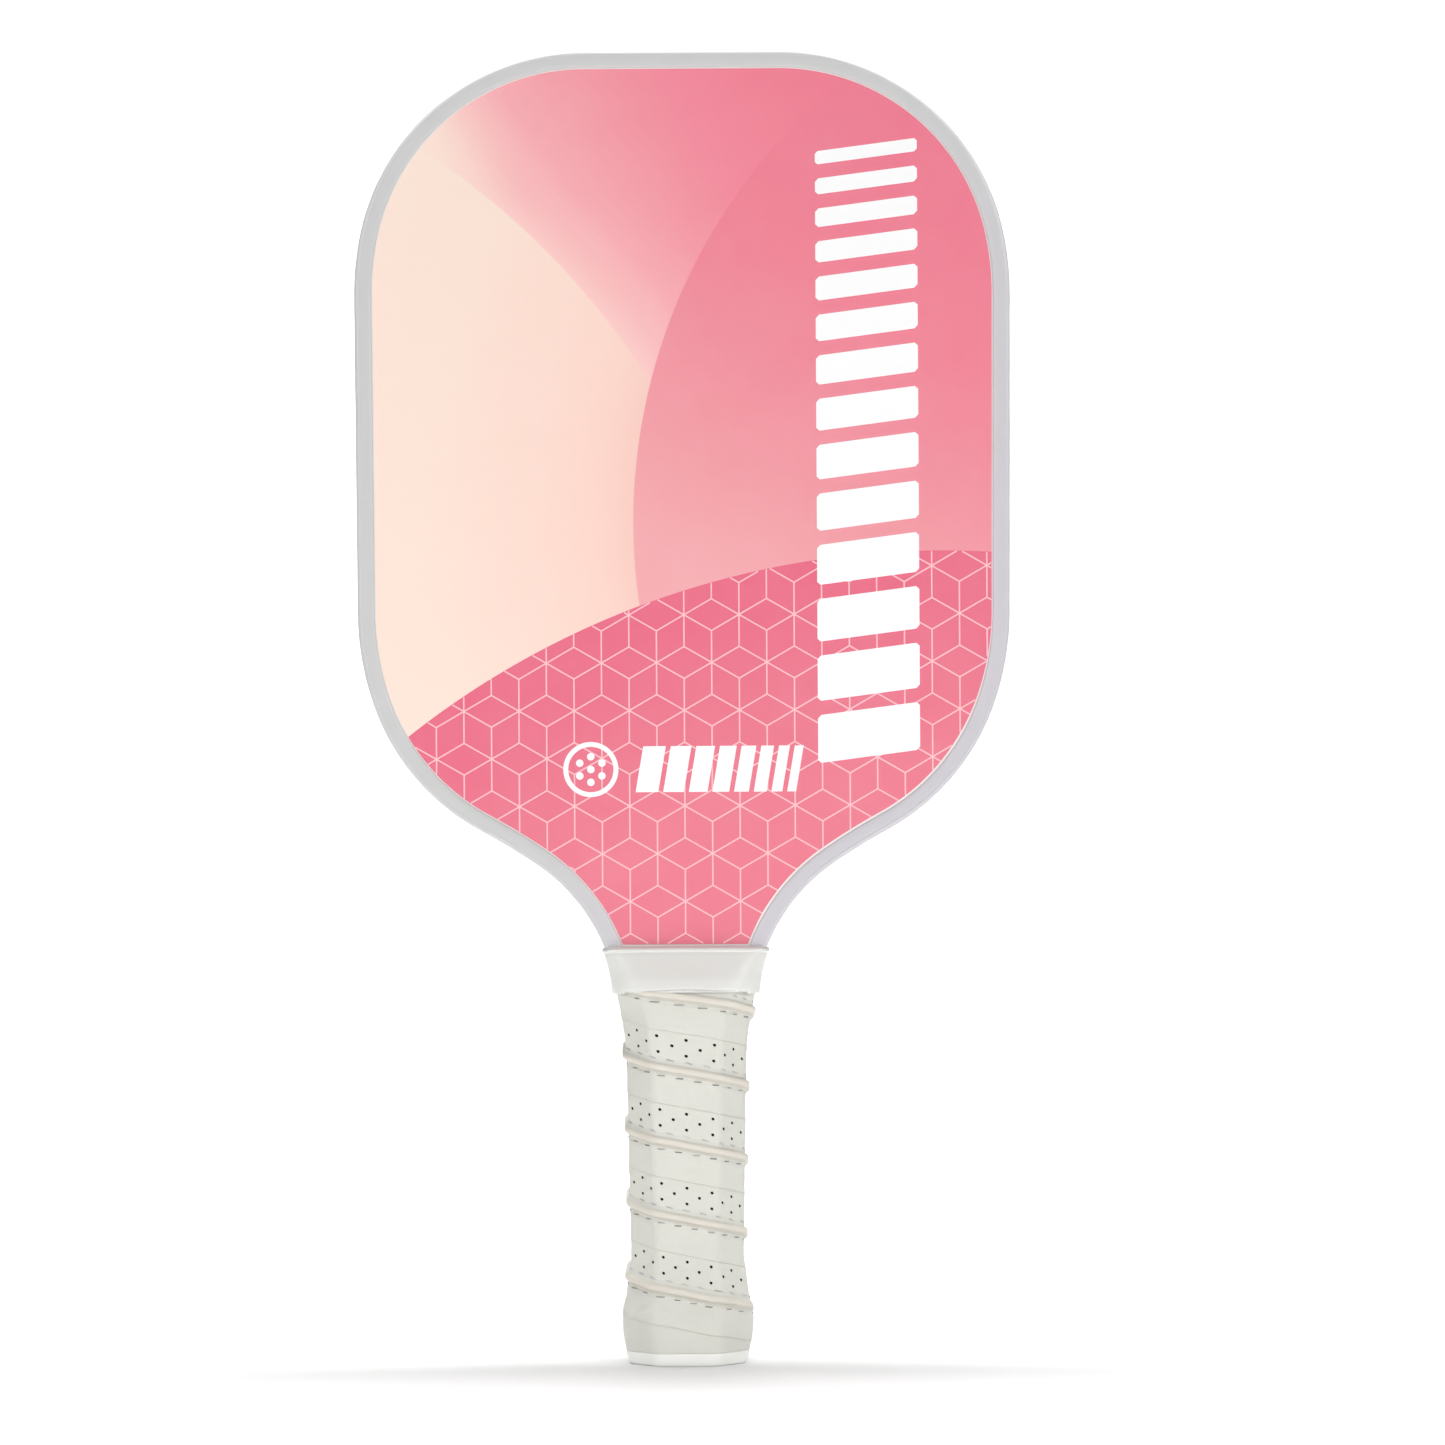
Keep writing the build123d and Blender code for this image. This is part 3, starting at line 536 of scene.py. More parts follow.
# name, sRGB, roughness, scale of the tone in cycles per mm, bump depth, amount of tone,
# then where given: scale of the fine grain, bump strength, other shader inputs
PLAIN = {
    "hole": ("perforation_shade", (34, 33, 31), 0.9, 0.8, 0.05, 0.3),
    "collar": ("collar_soft_rubber", (234, 233, 228), 0.50, 0.12, 0.04, 0.06, 3.0, 0.4,
               {"Specular IOR Level": 0.4, "Subsurface Weight": 0.03}),
    "cap": ("cap_satin_plastic", (250, 250, 246), 0.38, 0.10, 0.03, 0.06, 2.5, 0.35),
    "ink": ("white_ink", (254, 254, 254), 0.55, 0.3, 0.02, 0.02, 3.5, 0.3),
    "line": ("pale_line_ink", (252, 198, 205), 0.55, 0.3, 0.02, 0.05, 3.5, 0.3),
    "core": ("core_polypropylene_walls", (228, 228, 222), 0.45, 0.2, 0.05, 0.1),
    "bond": ("bond_resin", (216, 208, 178), 0.3, 0.2, 0.05, 0.2),
    "foam": ("pallet_rigid_foam", (226, 218, 194), 0.85, 0.9, 0.25, 0.25),
    "steel": ("staple_galvanised_wire", (176, 178, 182), 0.35, 1.5, 0.03, 0.3, 4.0, 0.5,
              {"Metallic": 1.0}),
    "glue": ("tape_adhesive_tacky", (208, 196, 158), 0.35, 0.3, 0.06, 0.25),
    "cushion": ("cushion_foam_backing", (232, 232, 226), 0.9, 1.2, 0.15, 0.12),
    "cord": ("rib_cord_soft_foam", (222, 216, 206), 0.8, 1.2, 0.1, 0.15),
    "vinyl": ("finishing_vinyl_smooth", (232, 232, 232), 0.3, 0.2, 0.02, 0.05),
}
MATERIALS = {
    "guard": guard_material(),
    "skin": skin_material(),
    # the thread is white; its greys are painted shade, deeper on the row below the rib
    "thread": thread_material("stitch_painted_shade_deep", (128, 130, 134), (168, 170, 173)),
    "thread_pale": thread_material("stitch_painted_shade_light", (176, 178, 182), (206, 207, 208)),
    "sheet": cloth_material(),
}
for key, values in PLAIN.items():
    MATERIALS[key] = plain_material(*values)
PRINT_COLORS = {
    "cream": cream_color, "blush": blush_color, "coral": coral_color, "field": field_color,
}
PRINTS = {(kind, side): print_material(kind, color_of, side)
          for kind, color_of in PRINT_COLORS.items() for side in (1, -1)}


# ------------------------------------------------------------------ mesh helpers
def add_piece(name, verts, faces, mats, slot, replaces=(), index=None, angle=38,
              attrs=None, merge=0.0):
    """Makes an object from verts in mm. Closed meshes get outward normals."""
    mesh = bpy.data.meshes.new(name)
    mesh.from_pydata([tuple(c * MM for c in v) for v in verts], [], [tuple(f) for f in faces])
    for mat in mats:
        mesh.materials.append(mat)
    if index is not None:
        mesh.polygons.foreach_set("material_index", index)
    for key, values in (attrs or {}).items():
        layer = mesh.attributes.new(key, "FLOAT", "POINT")
        layer.data.foreach_set("value", np.asarray(values, np.float32))
    mesh.validate()
    bm = bmesh.new()
    bm.from_mesh(mesh)
    if merge:
        bmesh.ops.remove_doubles(bm, verts=bm.verts, dist=merge * MM)
        bmesh.ops.dissolve_degenerate(bm, dist=merge * MM * 0.5, edges=bm.edges)
    loose = [v for v in bm.verts if not v.link_faces]
    bmesh.ops.delete(bm, geom=loose, context="VERTS")
    bmesh.ops.recalc_face_normals(bm, faces=bm.faces)
    for face in bm.faces:
        face.smooth = True
    bm.to_mesh(mesh)
    bm.free()
    mesh.set_sharp_from_angle(angle=math.radians(angle))
    piece = bpy.data.objects.new(name, mesh)
    bpy.context.scene.collection.objects.link(piece)
    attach(piece, "root")
    if replaces:
        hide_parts(*replaces)


def prism(flat_faces, points, y0, y1, side):
    """Closed plate from flat faces on (x, z) points, y0 to y1 out from the middle plane.

    side is 1 for the front and -1 for the back, turned half round.
    """
    count = len(points)
    verts = [(side * x, -side * y, z) for y in (y0, y1) for x, z in points]
    faces, edges = [], {}
    for face in flat_faces:
        faces.append(tuple(face))
        faces.append(tuple(i + count for i in reversed(face)))
        for a, b in zip(face, face[1:] + face[:1]):
            edges.setdefault((min(a, b), max(a, b)), []).append((a, b))
    for found in edges.values():
        if len(found) == 1:
            a, b = found[0]
            faces.append((b, a, a + count, b + count))
    return verts, faces


def polygon(points, y0, y1, side):
    return prism([list(range(len(points)))], points, y0, y1, side)


def join(parts):
    verts, faces = [], []
    for part_verts, part_faces in parts:
        first = len(verts)
        verts += part_verts
        faces += [tuple(i + first for i in face) for face in part_faces]
    return verts, faces


def ring_faces(rows, count, joined=False):
    """Quads between rows of closed rings; joined also links the last row to the first."""
    faces = []
    for i in range(rows if joined else rows - 1):
        a, b = i * count, (i + 1) % rows * count
        for j in range(count):
            k = (j + 1) % count
            faces.append((a + j, a + k, b + k, b + j))
    return faces


def end_faces(rows, count):
    return [tuple(range(count)), tuple(range((rows - 1) * count, rows * count))]


# ------------------------------------------------------------------ blade: edge guard
GUARD_ROUND = 1.3
# in from the outer line, drop below the lip's height: a fine ridge where the side turns
# into the lip, then a lip that falls away and rounds down at its free edge
LIP_DROPS = [
    (0.98, 0.015), (1.12, 0.0), (1.26, 0.03), (1.40, 0.10), (1.62, 0.085), (2.3, 0.07),
    (3.2, 0.12), (3.9, 0.18), (4.35, 0.25), (4.65, 0.33), (4.88, 0.43), (5.06, 0.56),
    (5.20, 0.70), (GUARD_REACH, 0.84),
]


def build_guard():
    half = [(GUARD_ROUND - GUARD_ROUND * math.cos(a),
             LIP_H - GUARD_ROUND + GUARD_ROUND * math.sin(a))
            for a in np.radians(np.linspace(0, 66, 7))]
    half += [(inset, LIP_H - drop) for inset, drop in LIP_DROPS]
    half += [(GUARD_REACH, SHEET_H + 0.01), (1.2, SHEET_H + 0.01)]
    section = half + [(inset, -y) for inset, y in reversed(half)]
    path = full_frames(GUARD_END, step_arc=1.4, step_line=6.0)
    verts = []
    for place in path:
        for inset, y in section:
            x, z = inset_point(*place, inset)
            verts.append((x, y, z))
    first, last = end_faces(len(path), len(section))
    faces = ring_faces(len(path), len(section)) + [first, last[::-1]]
    add_piece("edge_guard_moulding", verts, faces, [MATERIALS["guard"]],
              slot="guard_plastic", replaces=("edge_guard",), angle=50)


# ------------------------------------------------------------------ blade: print regions
SIDES = ((1, "front"), (-1, "back"))


def print_path(inset, step_arc, step_line):
    """The outer line, moved in.

    The film sits a little off centre, so a line of bare white sheet shows beside the
    guard at the front's lower right.
    """
    path = []
    for x, z, heading, side in full_frames(PRINT_PATH_END, step_arc, step_line):
        shift = 0.0
        if side > 0 and z < 235:
            shift = 0.28 * min(1.0, max(0.0, (math.degrees(heading) - 98) / 22))
        path.append(inset_point(x, z, heading, side, inset + shift))
    return path


def film_outline():
    """The film's edge, cut off level at PRINT_LOW."""
    path = print_path(PRINT_INSET, step_arc=1.2, step_line=6.0)
    cut = []
    for a, b in zip(path, path[1:]):
        if (a[1] - PRINT_LOW) * (b[1] - PRINT_LOW) < 0:
            t = (a[1] - PRINT_LOW) / (a[1] - b[1])
            cut.append((a[0] + (b[0] - a[0]) * t, PRINT_LOW))
    return [cut[0]] + [p for p in path if p[1] > PRINT_LOW] + [cut[-1]]


def from_centre(point, disc):
    return math.hypot(point[0] - disc[0], point[1] - disc[1])


def region(point):
    for kind, disc in (("field", FIELD_DISC), ("coral", CORAL_DISC), ("cream", CREAM_DISC)):
        if from_centre(point, disc) < disc[2]:
            return kind
    return "blush"


def in_outline(point, outline):
    """Counts crossings to the right of the point; outline is an array of (x, z)."""
    x, z = point
    a, b = outline, np.roll(outline, -1, 0)
    hit = (a[:, 1] > z) != (b[:, 1] > z)
    with np.errstate(divide="ignore", invalid="ignore"):
        cross = a[:, 0] + (z - a[:, 1]) * (b[:, 0] - a[:, 0]) / (b[:, 1] - a[:, 1])
    return bool(np.count_nonzero(hit & (cross > x)) % 2)


def build_print():
    outline = film_outline()
    points = [Vector(p) for p in outline]
    edges = [(i, (i + 1) % len(outline)) for i in range(len(outline))]
    for centre_x, centre_z, radius in (CREAM_DISC, CORAL_DISC, FIELD_DISC):
        steps = int(2 * math.pi * radius / 2.0)
        number = {}
        for k in range(steps):
            angle = 2 * math.pi * k / steps
            x, z = centre_x + radius * math.cos(angle), centre_z + radius * math.sin(angle)
            if abs(x) < 104 and 118 < z < 404:
                number[k] = len(points)
                points.append(Vector((x, z)))
        for k in number:
            after = (k + 1) % steps
            if after in number:
                edges.append((number[k], number[after]))
    out_points, _, out_faces, *_ = delaunay_2d_cdt(points, edges, [], 0, 1e-5, False)
    flat = [(p.x, p.y) for p in out_points]
    groups = {}
    for face in out_faces:
        face = list(face)
        centre = tuple(sum(flat[i][axis] for i in face) / len(face) for axis in (0, 1))
        if in_outline(centre, np.array(outline)):
            groups.setdefault(region(centre), []).append(face)
    for side, word in SIDES:
        for kind, faces in groups.items():
            replaced = (f"{word}_print_film",) if kind == "field" else ()
            add_piece(f"{word}_print_{kind}", *prism(faces, flat, SHEET_H, PRINT_H, side),
                      [PRINTS[kind, side]], slot="print_film", replaces=replaced)


# ------------------------------------------------------------------ blade: fine lattice
# Rhombus tiling in the lower field: lines from every third point of a triangular grid
# to its six neighbours. Grid points count half-steps: (columns, rows).
LATTICE = [((i, 0), (i + a, b)) for i in (0, 2, 4)
           for a, b in ((1, 1), (1, -1), (0, 2), (-1, -1), (-1, 1), (0, -2))]
RHOMBUS_EDGE = 9.7
COLUMN_STEP, ROW_STEP = RHOMBUS_EDGE * math.cos(math.radians(30)), -RHOMBUS_EDGE / 2
LATTICE_Z = 228.0
LINE_HALF = 0.21
CLIP_STEP = 0.2


def clip_run(a, b, line_ok):
    """Stretches of a to b that line_ok accepts."""
    count = max(2, int(math.dist(a, b) / CLIP_STEP))

    def at(k):
        t = k / count
        return a[0] + (b[0] - a[0]) * t, a[1] + (b[1] - a[1]) * t

    good = [line_ok(at(k)) for k in range(count + 1)]
    runs, k = [], 0
    while k <= count:
        if good[k]:
            end = k
            while end < count and good[end + 1]:
                end += 1
            if end > k:
                runs.append((at(k), at(end)))
            k = end
        k += 1
    return runs


def lattice_runs():
    path = print_path(PRINT_INSET + 0.12, step_arc=2.0, step_line=10.0)
    inner = np.array([p for p in path if p[1] > PRINT_LOW - 4])

    def line_ok(point):
        return (point[1] > PRINT_LOW + 0.3
                and from_centre(point, FIELD_DISC) < FIELD_DISC[2] - 0.2
                and in_outline(point, inner))

    drawn, runs = set(), []
    for p in range(-14, 15):
        for q in range(-14, 15):
            column, row = 3 * p + 3 * q, 3 * p - 3 * q
            for ends in LATTICE:
                line = tuple(sorted((column + i, row + j) for i, j in ends))
                if line in drawn:
                    continue
                drawn.add(line)
                a, b = [(i * COLUMN_STEP, LATTICE_Z + j * ROW_STEP) for i, j in line]
                if max(a[1], b[1]) < 120 or min(a[1], b[1]) > 252:
                    continue
                if min(a[0], b[0]) > 102 or max(a[0], b[0]) < -102:
                    continue
                runs += clip_run(a, b, line_ok)
    return runs


def build_lattice():
    points, quads = [], []
    for a, b in lattice_runs():
        length = math.dist(a, b)
        ux, uz = (b[0] - a[0]) / length, (b[1] - a[1]) / length
        # lengthened a little so that lines meet fully at the joints
        a = (a[0] - ux * LINE_HALF * 0.8, a[1] - uz * LINE_HALF * 0.8)
        b = (b[0] + ux * LINE_HALF * 0.8, b[1] + uz * LINE_HALF * 0.8)
        first = len(points)
        for p, s in ((a, -1), (b, -1), (b, 1), (a, 1)):
            points.append(Vector((p[0] - s * uz * LINE_HALF, p[1] + s * ux * LINE_HALF)))
        quads.append([first, first + 1, first + 2, first + 3])
    out_points, _, out_faces, _, _, sources = delaunay_2d_cdt(points, [], quads, 0, 1e-4, True)
    flat = [(p.x, p.y) for p in out_points]
    faces = [list(face) for face, source in zip(out_faces, sources) if source]
    for side, word in SIDES:
        add_piece(f"{word}_print_lattice_lines",
                  *prism(faces, flat, PRINT_H - 0.02, PRINT_H + 0.03, side),
                  [MATERIALS["line"]], slot="print_film")


# ------------------------------------------------------------------ blade: white shapes
# column of slanted bars that thin out towards the tip
BAR_COUNT, BAR_FIRST_Z, BAR_GAP = 14, 182.5, 4.3
BAR_THICK, BAR_THIN = 14.6, 4.05
BAR_X0, BAR_X1, BAR_LEAN = 40.7, 71.8, 4.0
# row of small slanted blocks that narrow to the right
BLOCK_COUNT, BLOCK_FIRST_X, BLOCK_GAP = 8, -15.0, 1.5
BLOCK_WIDE, BLOCK_NARROWING, BLOCK_LEAN = 6.9, 0.60, 2.4
BLOCK_Z0, BLOCK_Z1 = 174.0, 188.0
# ball sign to the left of the blocks: a ring round seven dots
BALL_X, BALL_Z = -28.6, (BLOCK_Z0 + BLOCK_Z1) / 2
BALL_INNER, BALL_OUTER = 6.9, 8.4
DOT_RADIUS, DOT_CIRCLE = 1.15, 3.9


def slanted(x0, x1, z0, z1, lean):
    """A bar from x0 to x1 whose right end is higher by lean, with trimmed corners."""
    trim = min(1.0, (z1 - z0) * 0.2)
    left, right = x0 + trim, x1 - trim

    def rise(x):
        return lean * (x - x0) / (x1 - x0)

    return [(left, z0 + rise(left)), (right, z0 + rise(right)),
            (x1, z0 + rise(x1) + trim), (x1, z1 + rise(x1) - trim),
            (right, z1 + rise(right)), (left, z1 + rise(left)),
            (x0, z1 + rise(x0) - trim), (x0, z0 + rise(x0) + trim)]


def circle(centre_x, centre_z, radius, count):
    return [(centre_x + radius * math.cos(2 * math.pi * k / count),
             centre_z + radius * math.sin(2 * math.pi * k / count)) for k in range(count)]


def build_white_shapes():
    shapes, z = [], BAR_FIRST_Z
    for k in range(BAR_COUNT):
        thick = BAR_THICK - (BAR_THICK - BAR_THIN) * k / (BAR_COUNT - 1)
        shapes.append(slanted(BAR_X0, BAR_X1, z, z + thick, BAR_LEAN))
        z += thick + BAR_GAP
    x = BLOCK_FIRST_X
    for k in range(BLOCK_COUNT):
        wide = BLOCK_WIDE - BLOCK_NARROWING * k
        shapes.append([(x, BLOCK_Z0), (x + wide, BLOCK_Z0),
                       (x + wide + BLOCK_LEAN, BLOCK_Z1), (x + BLOCK_LEAN, BLOCK_Z1)])
        x += wide + BLOCK_GAP
    dots = []
    for k in range(6):
        angle = math.radians(60 * k + 30)
        dots.append(circle(BALL_X + DOT_CIRCLE * math.cos(angle),
                           BALL_Z + DOT_CIRCLE * math.sin(angle), DOT_RADIUS, 20))
    dots.append(circle(BALL_X, BALL_Z, DOT_RADIUS, 20))
    ball_ring = circle(BALL_X, BALL_Z, BALL_INNER, 64) + circle(BALL_X, BALL_Z, BALL_OUTER, 64)
    ring_quads = [list(face) for face in ((k, (k + 1) % 64, 64 + (k + 1) % 64, 64 + k)
                                          for k in range(64))]
    for side, word in SIDES:
        plate = (PRINT_H - 0.02, PRINT_H + 0.06, side)
        parts = [polygon(shape, *plate) for shape in shapes]
        parts.append(prism(ring_quads, ball_ring, *plate))
        parts += [polygon(dot, *plate) for dot in dots]
        add_piece(f"{word}_print_white_shapes", *join(parts), [MATERIALS["ink"]],
                  slot="print_film")


# ------------------------------------------------------------------ grip: the wound strip
HOLE_ROWS = [4.6, 7.05, 9.4]  # v of each row of perforations
HOLE_BOX, HOLE_RADIUS = 0.74, 0.50  # half side of the mesh square round a hole
HOLES_END_TURN, HOLES_TOP_Z = 2.36, 112.0
COLUMNS = 30  # half hole pitches in a turn, so that the pattern closes on itself
HALF_PITCH = TURN / COLUMNS
# v of the strip's mesh rows: the low edge's rounding, the rib with its grooves, then the
# rows between and above the holes
V_KNOTS = [LOW_V + up for up in (0.0, 0.06, 0.16, 0.32, 0.55, 0.9, 1.4, 2.1)] + [
    -8.2, -7.3, -6.4, -5.5, -4.6, -3.9, -3.4, -3.1, -2.85, -2.6, -2.35, -2.1, -1.8, -1.5,
    -1.28, -1.1, -0.95, -0.8, -0.6, -0.3, 0.0, 0.3, 0.6, 0.8, 0.95, 1.1, 1.28, 1.5, 1.8,
    2.05, 2.3, 2.5, 2.75, 3.05, 3.45, 5.83, 8.2, 10.45, 10.75, 10.95, 11.12, TOP_V]
V_KNOTS += [row + shift for row in HOLE_ROWS for shift in (-HOLE_BOX, 0.0, HOLE_BOX)]
V_KNOTS = np.array(sorted(V_KNOTS))
V_COUNT = len(V_KNOTS)
# v, how far the underside lifts over the rib's cord
UNDERSIDE = np.array([
    (LOW_V, 0.0), (-6.0, 0.0), (-1.5, 0.0), (-0.95, 0.83), (0.0, 1.02), (0.95, 0.83),
    (1.5, 0.0), (6.0, 0.0), (TOP_V, 0.0),
])


def strip_columns():
    """Turns of the strip's mesh columns, and the number of each that is a hole's middle."""
    turns, numbers = [START_TURN], [None]
    shifts = (-HOLE_BOX, 0.0, HOLE_BOX, HALF_PITCH / 2)
    for k in range(math.floor(START_TURN * COLUMNS) - 1, math.ceil(END_TURN * COLUMNS) + 1):
        for shift in shifts:
            turn = k / COLUMNS + shift / TURN
            if START_TURN + 1e-4 < turn < END_TURN - 1e-4:
                turns.append(turn)
                numbers.append(k if shift == 0.0 else None)
    return np.array(turns + [END_TURN]), numbers + [None]


def bump_noise(x, y, z, scale, seed=0.0):
    values = [noise.noise(Vector((a * scale + seed, b * scale, c * scale)))
              for a, b, c in zip(x.ravel(), y.ravel(), z.ravel())]
    return np.array(values).reshape(x.shape)


def strip_z(turn, v):
    """Height of a point on the strip, cut so that it stays on the handle."""
    return np.clip(RIB_Z0 - PITCH * turn + v, GRIP_LO, GRIP_HI)


def strip_points(turn, v, offset):
    z = strip_z(turn, v)
    x, y, *_ = octagon(turn, tape_width(z), tape_depth(z), tape_bevel(z),
                       tape_skirt(z) + offset)
    return x, y, z


def rib_share(turn):
    """1 where the rib is full; it runs out towards the right side of the lowest turn."""
    s = np.clip((2.38 - turn) / 0.36, 0, 1)
    return s * s * (3 - 2 * s)


def collar_squeeze(z):
    """1 where the collar presses on the strip."""
    return np.clip((z - 113.2) / 1.6, 0, 1)


def outer_offset(turn, v, z):
    """How far the strip's outer face stands out from what it lies on."""
    squeeze = collar_squeeze(z)
    low_edge, top_edge = v - LOW_V, TOP_V - v
    raised = rib_share(turn) * (1 - 0.75 * squeeze)
    offset = TAPE_T + np.exp(-(v / 1.02) ** 4 * 0.75) * 1.2 * raised
    # a groove under and over the rib, along the stitches
    offset = offset - (0.24 * np.exp(-((v + 2.35) / 0.42) ** 2)
                       + 0.18 * np.exp(-((v - 2.4) / 0.42) ** 2)) * raised
    # the low edge laps over the turn below and is rounded off; the top edge thins
    offset = offset + 0.12 * np.exp(-low_edge / 1.6) * (1 - squeeze)
    offset = offset - 0.15 * np.clip(1 - low_edge / 0.22, 0, 1) ** 2
    offset = offset - 0.05 * np.clip(1 - top_edge / 0.4, 0, 1) ** 2
    x, y, z_point = strip_points(turn, v, offset)
    flare = np.exp(-((z - 19.0) / 6.0) ** 2)
    # wrinkles gather where the strip is stretched round the flare
    pull = np.exp(-((z - 14.0) / 8.0) ** 2)
    soft = (bump_noise(x, y, z_point, scale=0.16) * 0.18
            + bump_noise(x, y, z_point * 1.9, scale=0.42, seed=7.3) * (0.085 + 0.10 * flare))
    fold = bump_noise(x * 0.6, y * 0.6, z_point * 2.4 + 0.8 * np.abs(x), scale=0.30, seed=3.1)
    soft = soft - ((0.14 * flare + 0.05 + 0.10 * pull)
                   * np.clip(np.abs(fold) * -6 + 1, 0, 1))
    slant = bump_noise(x * 0.35, y * 0.35, z_point * 1.9 + 0.42 * x, scale=0.55, seed=11.7)
    soft = soft - (0.10 * pull + 0.02) * np.clip(1 - np.abs(slant) * 5, 0, 1)
    return offset + (soft - 0.06) * np.clip(low_edge / 0.5, 0.2, 1) - 0.30 * squeeze


def punch_holes(turns, numbers, offset, verts):
    """Adds the holes' points to verts; returns faces, material index, grid cells used."""
    faces, index, used = [], [], set()
    row_numbers = [int(np.argmin(abs(V_KNOTS - row))) for row in HOLE_ROWS]
    for i in range(2, len(turns) - 2):
        if numbers[i] is None:
            continue
        turn = turns[i]
        for r, (row, j) in enumerate(zip(HOLE_ROWS, row_numbers)):
            z = RIB_Z0 - PITCH * turn + row
            if (numbers[i] + r) % 2 or turn > HOLES_END_TURN or z > HOLES_TOP_Z:
                continue
            border = [(i - 1, j - 1), (i, j - 1), (i + 1, j - 1), (i + 1, j),
                      (i + 1, j + 1), (i, j + 1), (i - 1, j + 1), (i - 1, j)]
            rim = []
            for a, b in border:
                du, dv = (turns[a] - turn) * TURN, V_KNOTS[b] - row
                length = math.hypot(du, dv)
                rim.append((turn + du / length * HOLE_RADIUS / TURN,
                            row + dv / length * HOLE_RADIUS))
            rim_turn, rim_v = np.array(rim).T
            # the cushion bridges the step at the top of the cap, so it stands a little
            # higher there
            floor = SKIN_IN + 0.07 + 0.17 * math.exp(-((z - 30.5) / 3.0) ** 2)
            rings = []
            for size, depth in ((1.0, 0.0), (0.93, 0.10), (0.90, 0.46)):
                rings.append(len(verts))
                verts += zip(*strip_points(turn + (rim_turn - turn) * size,
                                           row + (rim_v - row) * size,
                                           max(offset[i, j] - depth, floor)))
            top, middle, bottom = rings
            corners = [a * V_COUNT + b for a, b in border]
            for k in range(8):
                m = (k + 1) % 8
                faces.append((corners[k], corners[m], top + m, top + k))
                faces.append((top + k, top + m, middle + m, middle + k))
                faces.append((middle + k, middle + m, bottom + m, bottom + k))
                index += [0, 0, 1]
            faces.append(tuple(bottom + k for k in range(8)))
            index.append(1)
            used |= {(i - 1, j - 1), (i, j - 1), (i - 1, j), (i, j)}
    return faces, index, used


def underside_points(turns):
    turn, v = np.meshgrid(turns, UNDERSIDE[:, 0], indexing="ij")
    z = strip_z(turn, v)
    squeeze = collar_squeeze(z)
    lift = np.interp(z - RIB_Z0 + PITCH * turn, UNDERSIDE[:, 0], UNDERSIDE[:, 1])
    offset = SKIN_IN - 0.3 * squeeze + lift * rib_share(turn) * (1 - 0.8 * squeeze)
    return [p.ravel() for p in strip_points(turn, v, offset)]


def build_skin():
    turns, numbers = strip_columns()
    turn, v = np.meshgrid(turns, V_KNOTS, indexing="ij")
    z = strip_z(turn, v)
    v = z - RIB_Z0 + PITCH * turn  # where the strip is cut level, its cut line
    offset = outer_offset(turn, v, z)
    verts = list(zip(*[p.ravel() for p in strip_points(turn, v, offset)]))
    faces, index, used = punch_holes(turns, numbers, offset, verts)
    base, under_count = len(verts), len(UNDERSIDE)
    verts += zip(*underside_points(turns))

    def outer(i, j):
        return i * V_COUNT + j

    def under(i, j):
        return base + i * under_count + j

    for i in range(len(turns) - 1):
        for j in range(V_COUNT - 1):
            if (i, j) not in used:
                faces.append((outer(i, j), outer(i + 1, j), outer(i + 1, j + 1),
                              outer(i, j + 1)))
    # underside and the two long edges
    top, under_top = V_COUNT - 1, under_count - 1
    for i in range(len(turns) - 1):
        for j in range(under_count - 1):
            faces.append((under(i, j + 1), under(i + 1, j + 1), under(i + 1, j), under(i, j)))
        faces.append((under(i, 0), under(i + 1, 0), outer(i + 1, 0), outer(i, 0)))
        faces.append((outer(i, top), outer(i + 1, top), under(i + 1, under_top),
                      under(i, under_top)))
    index += [0] * (len(faces) - len(index))

    def spread(grid, under_value):
        """The grid's values, 0 in the holes and under_value on the underside."""
        return np.concatenate([grid.ravel(), np.zeros(base - grid.size),
                               np.full(len(verts) - base, under_value)])

    rib = np.exp(-(v / 1.12) ** 6) * rib_share(turn)
    # painted shade along both edges of the strip and over its underside, for the shadow line at
    # the laps
    seam = np.clip(np.exp(-(v - LOW_V) / 0.14) + np.exp(-(TOP_V - v) / 0.2), 0, 1)
    # painted shade: a darker band just under the rib
    under_rib = np.exp(-((v + 1.55) / 0.5) ** 2) * rib_share(turn)
    attrs = {"rib": spread(rib, 0.0), "seam": spread(seam, 1.0),
             "under_rib": spread(under_rib, 0.0)}
    add_piece("grip_wound_skin", verts, faces, [MATERIALS["skin"], MATERIALS["hole"]],
              index=index, slot="grip_polyurethane", replaces=("grip_skin",), attrs=attrs,
              merge=0.003, angle=60)


# ------------------------------------------------------------------ grip: stitches
STITCH_PITCH, STITCH_LENGTH, STITCH_RADIUS = 5.0, 2.4, 0.17
STITCH_STEPS, STITCH_ROUND = 6, 6
STITCHES_END_TURN, STITCHES_TOP_Z = 2.24, 112.3
# v, shift along the row in stitch pitches, tilt
STITCH_ROWS = ((-2.6, 0.0, 0.3), (2.5, 0.5, -0.3))


